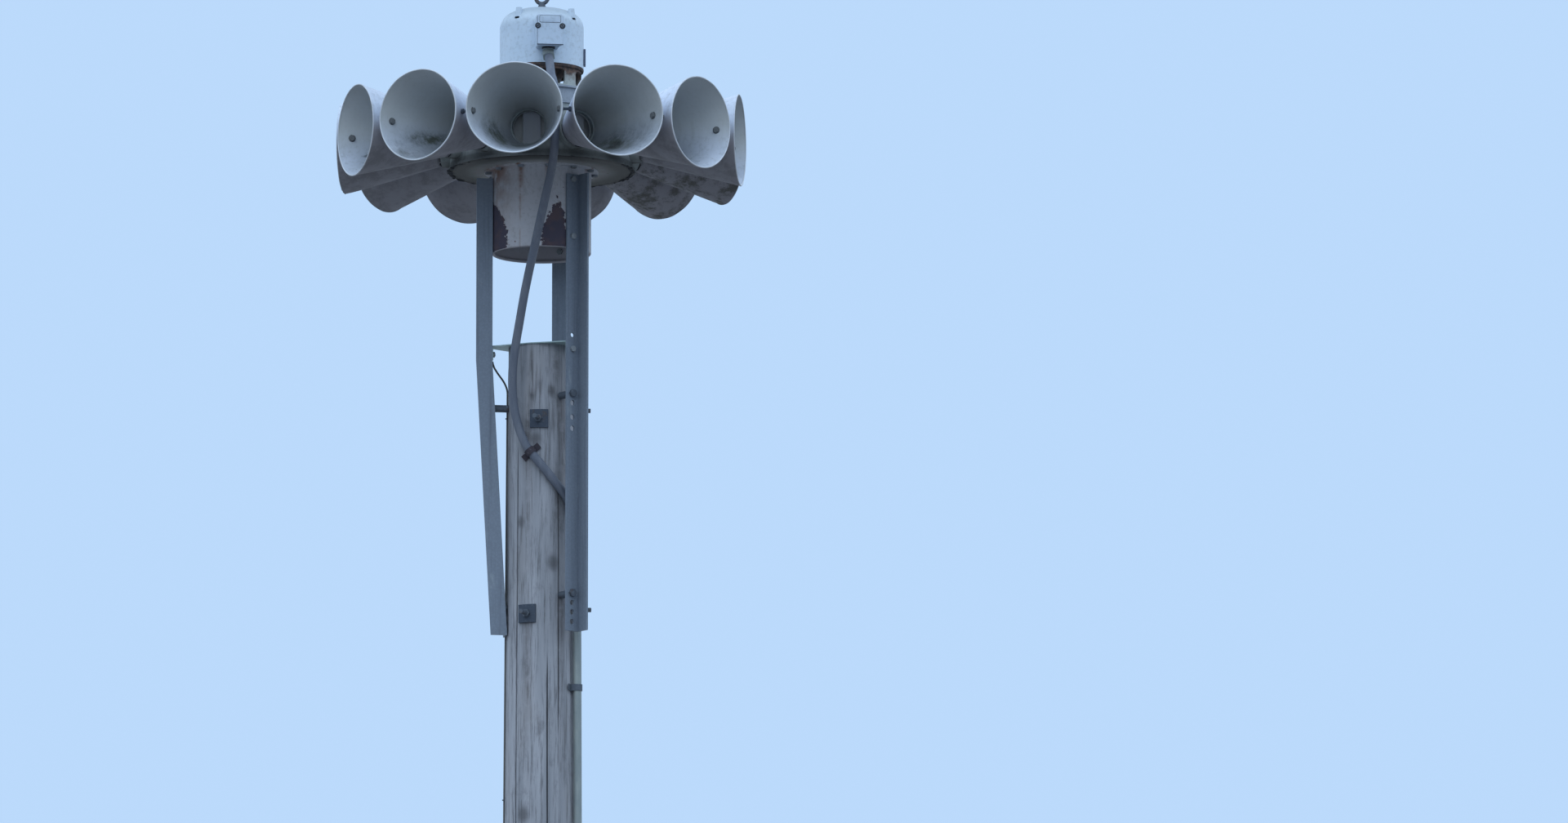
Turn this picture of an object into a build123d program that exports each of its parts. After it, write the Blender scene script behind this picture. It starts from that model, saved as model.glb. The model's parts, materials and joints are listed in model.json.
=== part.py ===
"""Outdoor warning siren on a wood pole, in millimetres, +Z up.

The origin is the centre of the pole at ground level. The front horn points along -Y,
and azimuths are counted in degrees from there towards +X.
"""

from build123d import *
from math import atan2, cos, degrees, radians, sin, sqrt, tan
import os

# Clearances
seat_gap = 0.3
bolt_clearance = 1.0
leg_hole_clearance = 1.5

# Pole
pole_height = 10360.0
pole_butt_radius = 155.5
pole_top_radius = 101.0

# Three angle-iron legs
leg_azimuths = {"leg_left": -75.0, "leg_right": 45.0, "leg_rear": 165.0}
leg_leans = {"leg_left": 3.2, "leg_right": 0.0, "leg_rear": 0.0}
leg_width = 50.8
leg_thickness = 6.4
leg_gauge = 28.6
leg_below_drum_top = 29.0
leg_length = 1440.0

# Plate on the pole top
cap_plate_thickness = 3.2
cap_plate_margin = 4.0
cap_tab_width = 40.0
cap_tab_drop = 42.0
cap_bolt_drop = 22.0

# Bolts of the legs
small_bolt_dia = 11.0
small_bolt_head_width = 17.0
small_bolt_head_height = 7.0
small_bolt_tail = 2.0
through_bolt_dia = 14.0
through_bolt_head_width = 22.0
through_bolt_head_height = 9.0
through_bolt_tail = 38.0
spacer_pipe_dia = 23.0
square_washer_width = 57.0
square_washer_thickness = 6.0
upper_bolt_drops = {"leg_right": 162.0, "leg_left": 192.0, "leg_rear": 237.0}
lower_bolt_drops = {"leg_right": 790.0, "leg_left": 820.0, "leg_rear": 850.0}
spare_hole_drops = (272.0, 880.0)
rear_bolt_skew = 7.6

# Intake drum
drum_radius = 155.5
drum_wall = 3.0
drum_height = 262.0
drum_bead_radius = 5.0
drum_flange_radius = 178.0
drum_flange_thickness = 4.0
drum_bolt_count = 12
drum_bolt_circle = 167.0
leg_bolt_drop = 46.0
leg_bolt_rise = 36.0

# Stator housing
horn_plane_above_pole = 648.0
stator_half_height = 80.0
stator_radius = 285.0
stator_wall = 12.0
plate_radius = 292.0
plate_thickness = 8.0
intake_hole_radius = 118.0
port_radius = 52.0
socket_radius = 66.0
socket_depth = 14.0

# Chopper rotor inside the stator, and its shaft
rotor_clearance = 5.0
rotor_end_clearance = 9.0
rotor_wall = 6.0
rotor_window_width = 86.0
rotor_window_height = 104.0
rotor_window_corner = 10.0
rotor_turn = 1.2
rotor_disc_thickness = 6.0
rotor_eye_radius = 124.0
rotor_blade_count = 12
rotor_blade_thickness = 5.0
rotor_blade_root_radius = 96.0
rotor_hub_radius = 46.0
rotor_hub_height = 58.0
rotor_shaft_dia = 38.0
rotor_nut_width = 58.0
rotor_nut_height = 9.0
rotor_shaft_tail = 5.0

# Horns
horn_count = 12
horn_seat_distance = 298.0
horn_neck_length = 16.0
horn_throat_radius = 60.0
horn_wall = 3.0
horn_mouth_distance = 623.0
horn_mouth_radius = 147.5
horn_lip_radius = 3.2

# Bolts that tie the horn mouths together
link_setback = 26.0
link_bolt_dia = 10.0
link_head_width = 19.0
link_head_height = 8.0
link_bolt_tail = 4.0
link_spacer_dia = 18.0

# Upper housing
collar_radius = 148.0
collar_wall = 6.0
collar_height = 76.0
collar_rim_radius = 156.0
collar_rim_thickness = 6.0
shaft_hole_radius = 60.0
pedestal_height = 66.0
pedestal_radius = 124.0
pedestal_wall = 12.0
pedestal_flange_radius = 134.0
pedestal_flange_thickness = 8.0
pedestal_leg_count = 6
pedestal_leg_azimuth = 55.0
pedestal_leg_width = 46.0
pedestal_window_corner = 13.0
shaft_housing_top_radius = 71.0
shaft_housing_foot_radius = 44.0

# Motor
motor_flange_radius = 128.0
motor_flange_thickness = 8.0
motor_radius = 131.0
motor_body_height = 106.0
end_bell_height = 74.0
end_bell_corner_radius = 52.0
end_bell_crown = 11.0
end_bell_crown_flat = 36.0
ear_azimuth = -30.0
ear_count = 4
ear_circle = 116.0
ear_top_radius = 9.5
ear_taper = 6.0
ear_height = 40.0
vent_length = 19.0
vent_height = 7.0
vent_depth = 12.0
vent_drop = 33.0
side_cover_azimuth = 98.0
side_cover_width = 34.0
side_cover_height = 52.0
side_cover_thickness = 6.0
side_cover_corner = 4.0
side_cover_above_flange = 12.0
eye_washer_radius = 32.0
eye_washer_thickness = 4.0
eye_base_radius = 14.0
eye_base_height = 16.0
eye_base_taper = 18.0
eye_ring_radius = 19.0
eye_rod_radius = 6.0

# Terminal box on the motor
box_azimuth = 15.0
box_face_distance = 208.0
box_height_above_body = 87.0
box_face_width = 83.0
box_face_slant = 2.0
box_root_width = 84.0
box_root_slant = 5.0
box_tall = 94.0
box_corner_radius = 8.0
box_cover_thickness = 6.0
box_cover_overhang = 3.0
box_cover_edge = 2.5
box_foot_distance = 118.0

# Conduit
conduit_dia = 26.7
fitting_distance = 160.0
fitting_hub_radius = 19.0
fitting_hub_height = 7.0
fitting_body_radius = 15.0
fitting_elbow_drop = 10.0
fitting_turn = 45.0
fitting_elbow_length = 22.0
fitting_nut_width = 35.0
coupling_radius = 17.0
coupling_length = 60.0
riser_azimuth = 76.0
riser_drop = 640.0
riser_foot_height = 6.0
riser_strap_spacing = 1500.0
riser_first_strap = 375.0
riser_last_strap_height = 190.0
strap_thickness = 2.0
strap_width = 20.0
strap_foot = 17.0
strap_clearance = 0.8
strap_run = 20

# Ground wire
ground_wire_dia = 6.0
ground_wire_azimuth = -91.0
ground_wire_drop = 128.0
ground_wire_rise = 84.0
ground_wire_foot_height = 2.0
staple_wire_dia = 3.0
staple_spacing = 600.0
first_staple_drops = (70.0, 92.0)

# Heights and distances worked out from the sizes above
horn_plane = pole_height + horn_plane_above_pole
base_plate_bottom = horn_plane - stator_half_height - plate_thickness
top_plate_top = horn_plane + stator_half_height + plate_thickness
collar_top = top_plate_top + collar_height
pedestal_top = collar_top + pedestal_height
motor_foot = pedestal_top + motor_flange_thickness
motor_shoulder = motor_foot + motor_body_height
motor_top = motor_shoulder + end_bell_height
drum_foot = base_plate_bottom - drum_height
leg_inner = drum_radius + seat_gap
leg_top = base_plate_bottom - leg_below_drum_top
leg_foot = leg_top - leg_length
leg_bend = pole_height - cap_tab_drop - seat_gap
leg_bolt_heights = (base_plate_bottom - leg_bolt_drop, drum_foot + leg_bolt_rise)
link_distance = horn_mouth_distance - link_setback
cut_reach = 4 * drum_radius


def outward(azimuth):
    """Horizontal unit vector at an azimuth."""
    return Vector(sin(radians(azimuth)), -cos(radians(azimuth)), 0)


def around(azimuth):
    """Horizontal unit vector at right angles to an azimuth, towards larger azimuths."""
    return Vector(cos(radians(azimuth)), sin(radians(azimuth)), 0)


def point(azimuth, distance, height):
    """Point at an azimuth, a distance from the axis and a height."""
    return outward(azimuth) * distance + Vector(0, 0, height)


def side_plane(azimuth, height=0.0, shift=0.0):
    """Upright plane through the axis, x outward and y up, shifted towards larger azimuths."""
    origin = Vector(0, 0, height) + around(azimuth) * shift
    return Plane(origin=origin, x_dir=outward(azimuth), z_dir=around(azimuth) * -1)


def facing_plane(azimuth, distance, height):
    """Upright plane that faces outward at an azimuth, x towards larger azimuths and y up."""
    return Plane(
        origin=point(azimuth, distance, height), x_dir=around(azimuth), z_dir=outward(azimuth)
    )


def pole_radius(height):
    """Radius of the tapered pole at a height."""
    return pole_butt_radius + (pole_top_radius - pole_butt_radius) * height / pole_height


def leg_distance(name, height):
    """Distance from the axis to the inner face of a leg at a height."""
    return leg_inner - max(0.0, leg_bend - height) * tan(radians(leg_leans[name]))


def hex_corner(width):
    """Distance from the middle of a hexagon to its corners, from its width across flats."""
    return width / sqrt(3)


def bend_radii(points):
    """Fillet radii that leave straight stretches between the bends of a route."""
    radii = []
    for before, corner, after in zip(points, points[1:], points[2:]):
        first = corner - before
        second = after - corner
        half_turn = radians(first.get_angle(second)) / 2
        radii.append(0.45 * min(first.length, second.length) / tan(half_turn))
    return radii


def through_bolt_fit(name, height, skew):
    """Plane of a through bolt outside a leg, and the distances behind it at which things seat.

    The plane faces out along the bolt. A bolt that isn't square to the leg or to the pole
    stands off by the slack that its flat faces need there.
    """
    azimuth = leg_azimuths[name]
    face = leg_distance(name, height) + leg_thickness
    half_head = hex_corner(through_bolt_head_width)
    leg_slack = half_head * (tan(radians(leg_leans[name])) + tan(radians(skew)))
    plane = Plane(
        origin=point(azimuth, face + leg_slack, height),
        x_dir=around(azimuth + skew),
        z_dir=outward(azimuth + skew),
    )
    off_axis = (face + leg_slack) * sin(radians(skew))
    half_chord = sqrt(pole_radius(height) ** 2 - off_axis**2)
    middle = (face + leg_slack) * cos(radians(skew))
    pole_slack = half_head * off_axis / half_chord
    return {
        "plane": plane,
        "leg_back": leg_thickness + 2 * leg_slack + seat_gap,
        "pole_front": middle - half_chord - pole_slack - seat_gap,
        "washer": middle + half_chord,
        "nut": middle + half_chord + washer_reach + pole_slack,
    }


# Wood pole with bolt holes
washer_reach = square_washer_thickness + 2 * seat_gap
bolt_fits = []
for leg_name in leg_azimuths:
    skew = rear_bolt_skew if leg_name == "leg_rear" else 0.0
    upper_height = pole_height - upper_bolt_drops[leg_name]
    lower_height = pole_height - lower_bolt_drops[leg_name]
    bolt_fits.append((upper_height, through_bolt_fit(leg_name, upper_height, skew)))
    bolt_fits.append((lower_height, through_bolt_fit(leg_name, lower_height, 0.0)))

with BuildPart() as pole:
    with BuildSketch(Plane.XY):
        Circle(pole_butt_radius)
    with BuildSketch(Plane.XY.offset(pole_height)):
        Circle(pole_top_radius)
    loft()
    for height, fit in bolt_fits:
        with BuildSketch(fit["plane"]):
            Circle(through_bolt_dia / 2 + bolt_clearance / 2)
    extrude(amount=-cut_reach, mode=Mode.SUBTRACT)

# Plate on the pole top, with three tabs bent down along the legs
with BuildPart() as pole_cap_plate:
    cap_reach = leg_inner - seat_gap
    with BuildSketch(Plane.XY.offset(pole_height)):
        Circle(pole_top_radius + cap_plate_margin)
        for leg_azimuth in leg_azimuths.values():
            tab_middle = outward(leg_azimuth) * (cap_reach - cap_plate_thickness)
            with Locations(Location((tab_middle.X, tab_middle.Y), leg_azimuth)):
                Rectangle(cap_tab_width, 2 * cap_plate_thickness)
        make_hull()
    extrude(amount=cap_plate_thickness)
    for leg_azimuth in leg_azimuths.values():
        with BuildSketch(facing_plane(leg_azimuth, cap_reach, pole_height)):
            with Locations((0, -cap_tab_drop / 2)):
                Rectangle(cap_tab_width, cap_tab_drop)
            with Locations((0, -cap_bolt_drop)):
                Circle(small_bolt_dia / 2 + bolt_clearance / 2, mode=Mode.SUBTRACT)
    extrude(amount=-cap_plate_thickness)


def angle_leg(name, azimuth):
    """One angle-iron leg, upright down to the pole top and leaning in below it."""
    with BuildPart() as leg:
        for reach, shift, width in (
            (leg_thickness, leg_gauge, leg_width),
            (leg_width, leg_gauge, leg_thickness),
        ):
            with BuildSketch(side_plane(azimuth, shift=shift)):
                with BuildLine():
                    Polyline(
                        (leg_distance(name, leg_top), leg_top),
                        (leg_distance(name, leg_bend), leg_bend),
                        (leg_distance(name, leg_foot), leg_foot),
                        (leg_distance(name, leg_foot) + reach, leg_foot),
                        (leg_distance(name, leg_bend) + reach, leg_bend),
                        (leg_distance(name, leg_top) + reach, leg_top),
                        close=True,
                    )
                make_face()
            extrude(amount=width)
        hole_sizes = {
            leg_bolt_heights[0]: small_bolt_dia,
            leg_bolt_heights[1]: small_bolt_dia,
            pole_height + cap_bolt_drop: small_bolt_dia,
            pole_height - cap_bolt_drop: small_bolt_dia,
        }
        for drop in (*upper_bolt_drops.values(), *lower_bolt_drops.values(), *spare_hole_drops):
            hole_sizes[pole_height - drop] = through_bolt_dia
        for height, bolt_dia in hole_sizes.items():
            with BuildSketch(facing_plane(azimuth, leg_distance(name, height), height)):
                Circle(bolt_dia / 2 + leg_hole_clearance)
        extrude(amount=3 * leg_thickness, both=True, mode=Mode.SUBTRACT)
    leg.part.label = name
    return leg.part


legs = {name: angle_leg(name, azimuth) for name, azimuth in leg_azimuths.items()}


def hex_bolt(plane, grip, shank_dia, head_width, head_height, tail):
    """Hex bolt through a grip, its head on the plane and its nut on the far side."""
    with BuildPart() as bolt:
        with BuildSketch(plane):
            RegularPolygon(radius=head_width / 2, side_count=6, major_radius=False)
        extrude(amount=head_height)
        with BuildSketch(plane):
            Circle(shank_dia / 2)
        extrude(amount=-(grip + head_height + tail))
        with BuildSketch(plane.offset(-grip)):
            RegularPolygon(radius=head_width / 2, side_count=6, major_radius=False)
        extrude(amount=-head_height)
    return bolt.part


# Bolts of the legs to the drum and of the cap plate to the legs
drum_inner = drum_radius - drum_wall
drum_nut_seat = sqrt(drum_inner**2 - hex_corner(small_bolt_head_width) ** 2) - seat_gap
leg_bolt_parts = []
for leg_name, leg_azimuth in leg_azimuths.items():
    for height, seat in (
        (leg_bolt_heights[0], drum_nut_seat),
        (leg_bolt_heights[1], drum_nut_seat),
        (pole_height - cap_bolt_drop, leg_inner - seat_gap - cap_plate_thickness),
    ):
        face = leg_distance(leg_name, height) + leg_thickness
        leg_bolt_parts.append(
            hex_bolt(
                facing_plane(leg_azimuth, face, height),
                face - seat,
                small_bolt_dia,
                small_bolt_head_width,
                small_bolt_head_height,
                small_bolt_tail,
            )
        )
with BuildPart() as leg_bolts:
    add(leg_bolt_parts)

# Long bolts through the legs and the pole, with pipe spacers and curved square washers
through_bolt_parts = []
for height, fit in bolt_fits:
    through_bolt_parts.append(
        hex_bolt(
            fit["plane"],
            fit["nut"],
            through_bolt_dia,
            through_bolt_head_width,
            through_bolt_head_height,
            through_bolt_tail,
        )
    )
with BuildPart() as through_bolts:
    add(through_bolt_parts)

with BuildPart() as spacer_pipes:
    for height, fit in bolt_fits:
        pipe_length = fit["pole_front"] - fit["leg_back"]
        if pipe_length > 2 * leg_thickness:
            with BuildSketch(fit["plane"].offset(-fit["leg_back"])):
                Circle(spacer_pipe_dia / 2)
                Circle(through_bolt_dia / 2 + bolt_clearance / 2, mode=Mode.SUBTRACT)
            extrude(amount=-pipe_length)

with BuildPart() as square_washers:
    for height, fit in bolt_fits:
        far_point = fit["plane"].origin - fit["plane"].z_dir * fit["washer"]
        washer_azimuth = degrees(atan2(far_point.X, -far_point.Y))
        washer_inner = pole_radius(height - square_washer_width / 2) + seat_gap
        with BuildSketch(Plane.XY.offset(height - square_washer_width / 2)):
            Circle(washer_inner + square_washer_thickness)
            Circle(washer_inner, mode=Mode.SUBTRACT)
            with Locations(Location((0, 0), washer_azimuth - 90)):
                Rectangle(
                    2 * washer_inner,
                    square_washer_width,
                    align=(Align.MIN, Align.CENTER),
                    mode=Mode.INTERSECT,
                )
        extrude(amount=square_washer_width)
        with BuildSketch(fit["plane"].offset(-fit["washer"] + leg_inner / 2)):
            Circle(through_bolt_dia / 2 + bolt_clearance / 2)
        extrude(amount=-leg_inner, mode=Mode.SUBTRACT)

# Open-bottomed intake drum with a top flange and a rolled bottom edge
with BuildPart() as intake_drum:
    with BuildSketch(side_plane(90)):
        with BuildLine():
            Polyline(
                (drum_inner, drum_foot),
                (drum_radius, drum_foot),
                (drum_radius, base_plate_bottom - drum_flange_thickness),
                (drum_flange_radius, base_plate_bottom - drum_flange_thickness),
                (drum_flange_radius, base_plate_bottom),
                (drum_inner, base_plate_bottom),
                close=True,
            )
        make_face()
        with Locations((drum_radius - drum_bead_radius, drum_foot + drum_bead_radius)):
            Circle(drum_bead_radius)
    revolve(axis=Axis.Z)
    with BuildSketch(Plane.XY.offset(base_plate_bottom)):
        with PolarLocations(drum_bolt_circle, drum_bolt_count, start_angle=360 / drum_bolt_count / 2):
            Circle(small_bolt_dia / 2 + bolt_clearance / 2)
    extrude(amount=-drum_flange_thickness, mode=Mode.SUBTRACT)
    for leg_azimuth in leg_azimuths.values():
        for height in leg_bolt_heights:
            with BuildSketch(facing_plane(leg_azimuth, 0, height)):
                Circle(small_bolt_dia / 2 + bolt_clearance / 2)
    extrude(amount=cut_reach, mode=Mode.SUBTRACT)

# Ring of bolts that holds the drum flange under the base plate
with BuildPart() as drum_flange_bolts:
    bolt_start = 360 / drum_bolt_count / 2
    with BuildSketch(Plane.XY.offset(base_plate_bottom - drum_flange_thickness)):
        with PolarLocations(drum_bolt_circle, drum_bolt_count, start_angle=bolt_start):
            RegularPolygon(radius=small_bolt_head_width / 2, side_count=6, major_radius=False)
    extrude(amount=-small_bolt_head_height)
    with BuildSketch(Plane.XY.offset(base_plate_bottom - drum_flange_thickness)):
        with PolarLocations(drum_bolt_circle, drum_bolt_count, start_angle=bolt_start):
            Circle(small_bolt_dia / 2)
    extrude(amount=drum_flange_thickness + plate_thickness)

# Round plates below and above the stator
with BuildPart() as base_plate:
    with BuildSketch(Plane.XY.offset(base_plate_bottom)):
        Circle(plate_radius)
        Circle(intake_hole_radius, mode=Mode.SUBTRACT)
        with PolarLocations(drum_bolt_circle, drum_bolt_count, start_angle=bolt_start):
            Circle(small_bolt_dia / 2 + bolt_clearance / 2, mode=Mode.SUBTRACT)
    extrude(amount=plate_thickness)

with BuildPart() as top_plate:
    with BuildSketch(Plane.XY.offset(top_plate_top - plate_thickness)):
        Circle(plate_radius)
        Circle(shaft_hole_radius, mode=Mode.SUBTRACT)
    extrude(amount=plate_thickness)


def horn_azimuth(index):
    """Azimuth of a horn, counted from the front one."""
    return 360.0 / horn_count * index


# Stator ring with a port and a horn socket for each horn
socket_end = horn_seat_distance + socket_depth
with BuildPart() as stator_ring:
    with BuildSketch(Plane.XY.offset(horn_plane - stator_half_height)):
        Circle(stator_radius)
    extrude(amount=2 * stator_half_height)
    for index in range(horn_count):
        with BuildSketch(facing_plane(horn_azimuth(index), 0, horn_plane)):
            Circle(socket_radius)
    extrude(amount=socket_end)
    with BuildSketch(Plane.XY.offset(horn_plane - stator_half_height)):
        Circle(stator_radius - stator_wall)
    extrude(amount=2 * stator_half_height, mode=Mode.SUBTRACT)
    for index in range(horn_count):
        with BuildSketch(facing_plane(horn_azimuth(index), horn_seat_distance, horn_plane)):
            Circle(horn_throat_radius + seat_gap)
    extrude(amount=2 * socket_depth, mode=Mode.SUBTRACT)
    for index in range(horn_count):
        with BuildSketch(facing_plane(horn_azimuth(index), 0, horn_plane)):
            Circle(port_radius)
    extrude(amount=2 * stator_radius, mode=Mode.SUBTRACT)

# Chopper rotor: a windowed ring between two discs, with radial blades and a hub
rotor_radius = stator_radius - stator_wall - rotor_clearance
rotor_half = stator_half_height - rotor_end_clearance
rotor_foot = horn_plane - rotor_half
rotor_top = horn_plane + rotor_half
blade_tip = rotor_radius - rotor_wall / 2
blade_middle = (rotor_blade_root_radius + blade_tip) / 2
with BuildPart() as chopper_rotor:
    with BuildSketch(Plane.XY.offset(rotor_foot)):
        Circle(rotor_radius)
        Circle(rotor_radius - rotor_wall, mode=Mode.SUBTRACT)
    extrude(amount=2 * rotor_half)
    for index in range(horn_count):
        with BuildSketch(facing_plane(horn_azimuth(index + 0.5) + rotor_turn, 0, horn_plane)):
            RectangleRounded(rotor_window_width, rotor_window_height, rotor_window_corner)
    extrude(amount=2 * rotor_radius, mode=Mode.SUBTRACT)
    with BuildSketch(Plane.XY.offset(rotor_foot)):
        Circle(rotor_radius - rotor_wall)
        Circle(rotor_eye_radius, mode=Mode.SUBTRACT)
    extrude(amount=rotor_disc_thickness)
    with BuildSketch(Plane.XY.offset(rotor_foot)):
        with PolarLocations(blade_middle, rotor_blade_count, start_angle=rotor_turn):
            Rectangle(blade_tip - rotor_blade_root_radius, rotor_blade_thickness)
    extrude(amount=2 * rotor_half)
    with BuildSketch(Plane.XY.offset(rotor_top)):
        Circle(rotor_radius)
    extrude(amount=-rotor_disc_thickness)
    with BuildSketch(Plane.XY.offset(rotor_top)):
        Circle(rotor_hub_radius)
    extrude(amount=-rotor_hub_height)
    with BuildSketch(Plane.XY.offset(rotor_top)):
        Circle(rotor_shaft_dia / 2 + seat_gap)
    extrude(amount=-2 * rotor_half, mode=Mode.SUBTRACT)

# Shaft from the motor's housing down through the rotor's hub, with a nut under the hub
rotor_nut_seat = rotor_top - rotor_hub_height - seat_gap
with BuildPart() as rotor_shaft:
    with BuildSketch(Plane.XY.offset(collar_top)):
        Circle(rotor_shaft_dia / 2)
    extrude(amount=rotor_nut_seat - rotor_nut_height - rotor_shaft_tail - collar_top)
    with BuildSketch(Plane.XY.offset(rotor_nut_seat)):
        RegularPolygon(radius=rotor_nut_width / 2, side_count=6, major_radius=False)
    extrude(amount=-rotor_nut_height)

# Horns
horn_slope = (horn_mouth_radius - horn_throat_radius) / (
    horn_mouth_distance - horn_seat_distance - horn_neck_length
)
link_angle = 180.0 / horn_count


def horn(name, azimuth):
    """One thin spun horn with a straight neck, a cone and a rolled lip."""
    start = horn_seat_distance + seat_gap
    cone_start = horn_seat_distance + horn_neck_length
    with BuildPart() as shell:
        with BuildSketch(side_plane(azimuth, height=horn_plane)):
            with BuildLine():
                Polyline(
                    (start, horn_throat_radius),
                    (cone_start, horn_throat_radius),
                    (horn_mouth_distance, horn_mouth_radius - horn_lip_radius / 2),
                    (horn_mouth_distance, horn_mouth_radius - horn_lip_radius / 2 - horn_wall),
                    (cone_start, horn_throat_radius - horn_wall),
                    (start, horn_throat_radius - horn_wall),
                    close=True,
                )
            make_face()
            with Locations((horn_mouth_distance, horn_mouth_radius - horn_lip_radius)):
                RegularPolygon(radius=horn_lip_radius, side_count=8, rotation=22.5)
        revolve(axis=Axis((0, 0, horn_plane), outward(azimuth)))
        for side in (-1, 1):
            with BuildSketch(facing_plane(azimuth + side * link_angle + 90, 0, horn_plane)):
                with Locations((-link_distance, 0)):
                    Circle(link_bolt_dia / 2 + bolt_clearance / 2)
            extrude(amount=-side * horn_mouth_radius / 2, mode=Mode.SUBTRACT)
    shell.part.label = name
    return shell.part


horns = {}
for index in range(horn_count):
    horn_name = f"horn_{index + 1:02d}"
    horns[horn_name] = horn(horn_name, horn_azimuth(index))

# Link bolts with spacers between neighbouring horns
cone_start_offset = (horn_seat_distance + horn_neck_length) * sin(radians(link_angle))
half_gap_at_throat = cone_start_offset - horn_throat_radius * cos(radians(link_angle))
throat_reach = (horn_seat_distance + horn_neck_length) * cos(radians(link_angle))
throat_reach += horn_throat_radius * sin(radians(link_angle))
lip_start_radius = horn_mouth_radius - horn_lip_radius / 2
half_gap_at_mouth = horn_mouth_distance * sin(radians(link_angle))
half_gap_at_mouth -= lip_start_radius * cos(radians(link_angle))
mouth_reach = horn_mouth_distance * cos(radians(link_angle))
mouth_reach += lip_start_radius * sin(radians(link_angle))
half_gap = half_gap_at_throat + (half_gap_at_mouth - half_gap_at_throat) * (
    link_distance - throat_reach
) / (mouth_reach - throat_reach)
link_wall_radius = horn_throat_radius + horn_slope * (
    link_distance * cos(radians(link_angle)) - horn_seat_distance - horn_neck_length
)
head_lift = link_wall_radius - sqrt(link_wall_radius**2 - hex_corner(link_head_width) ** 2)
head_seat = half_gap + horn_wall + head_lift + seat_gap
link_parts = []
for index in range(horn_count):
    link_plane = Plane(
        origin=point(horn_azimuth(index) + link_angle, link_distance, horn_plane),
        x_dir=(0, 0, 1),
        z_dir=around(horn_azimuth(index) + link_angle),
    )
    with BuildPart() as link_spacer:
        with BuildSketch(link_plane.offset(seat_gap - half_gap)):
            Circle(link_spacer_dia / 2)
        extrude(amount=2 * (half_gap - seat_gap))
    link_parts.append(link_spacer.part)
    link_parts.append(
        hex_bolt(
            link_plane.offset(head_seat),
            2 * head_seat,
            link_bolt_dia,
            link_head_width,
            link_head_height,
            link_bolt_tail,
        )
    )
with BuildPart() as horn_link_bolts:
    add(link_parts)

# Collar above the top plate
with BuildPart() as top_collar:
    with BuildSketch(side_plane(90)):
        with BuildLine():
            Polyline(
                (collar_radius - collar_wall, top_plate_top),
                (collar_radius, top_plate_top),
                (collar_radius, collar_top - collar_rim_thickness),
                (collar_rim_radius, collar_top - collar_rim_thickness),
                (collar_rim_radius, collar_top),
                (shaft_hole_radius, collar_top),
                (shaft_hole_radius, collar_top - collar_rim_thickness),
                (collar_radius - collar_wall, collar_top - collar_rim_thickness),
                close=True,
            )
        make_face()
    revolve(axis=Axis.Z)

# Cast pedestal with legs around open windows
window_height = pedestal_height - 2 * pedestal_flange_thickness
with BuildPart() as motor_pedestal:
    with BuildSketch(Plane.XY.offset(collar_top)):
        Circle(pedestal_flange_radius)
    extrude(amount=pedestal_flange_thickness)
    with BuildSketch(Plane.XY.offset(collar_top)):
        Circle(pedestal_radius)
    extrude(amount=pedestal_height)
    with BuildSketch(Plane.XY.offset(collar_top)):
        Circle(pedestal_radius - pedestal_wall)
    extrude(amount=pedestal_height, mode=Mode.SUBTRACT)
    window_chord = 2 * pedestal_radius * sin(radians(180 / pedestal_leg_count)) - pedestal_leg_width
    for index in range(pedestal_leg_count):
        window_azimuth = pedestal_leg_azimuth + 360 / pedestal_leg_count * (index + 0.5)
        window_middle = collar_top + pedestal_height / 2
        with BuildSketch(facing_plane(window_azimuth, 0, window_middle)):
            RectangleRounded(window_chord, window_height, pedestal_window_corner)
    extrude(amount=2 * pedestal_radius, mode=Mode.SUBTRACT)

# Conical shaft housing inside the pedestal
with BuildPart() as shaft_housing:
    with BuildSketch(Plane.XY.offset(collar_top + seat_gap)):
        Circle(shaft_housing_foot_radius)
    with BuildSketch(Plane.XY.offset(pedestal_top)):
        Circle(shaft_housing_top_radius)
    loft()

# Motor with its flange, body and rounded end bell
with BuildPart() as motor_flange:
    with BuildSketch(Plane.XY.offset(pedestal_top)):
        Circle(motor_flange_radius)
    extrude(amount=motor_flange_thickness)

with BuildPart() as motor_body:
    with BuildSketch(Plane.XY.offset(motor_foot)):
        Circle(motor_radius)
    extrude(amount=motor_body_height)

crown_run = motor_radius - end_bell_corner_radius - end_bell_crown_flat
crown_lean = 2 * degrees(atan2(end_bell_crown, crown_run))
corner_foot = motor_top - end_bell_corner_radius
with BuildPart() as motor_end_bell:
    with BuildSketch(side_plane(90)):
        with BuildLine():
            Polyline((0, motor_shoulder), (motor_radius, motor_shoulder), (motor_radius, corner_foot))
            corner = CenterArc(
                (motor_radius - end_bell_corner_radius, corner_foot),
                end_bell_corner_radius,
                start_angle=0,
                arc_size=90 - crown_lean,
            )
            crown_edge = (end_bell_crown_flat, motor_top + end_bell_crown)
            TangentArc(corner @ 1, crown_edge, tangent=corner % 1)
            Polyline(crown_edge, (0, motor_top + end_bell_crown), (0, motor_shoulder))
        make_face()
    revolve(axis=Axis.Z)
    with BuildSketch(Plane.XY.offset(motor_top)):
        with PolarLocations(ear_circle, ear_count, start_angle=ear_azimuth - 90):
            Circle(ear_top_radius)
    extrude(amount=-ear_height, taper=-ear_taper)
    for index in range(ear_count):
        vent_azimuth = ear_azimuth + 360 / ear_count * index
        with BuildSketch(facing_plane(vent_azimuth, motor_radius, motor_top - vent_drop)):
            SlotOverall(vent_length, vent_height)
    extrude(amount=-vent_depth, mode=Mode.SUBTRACT)

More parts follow.
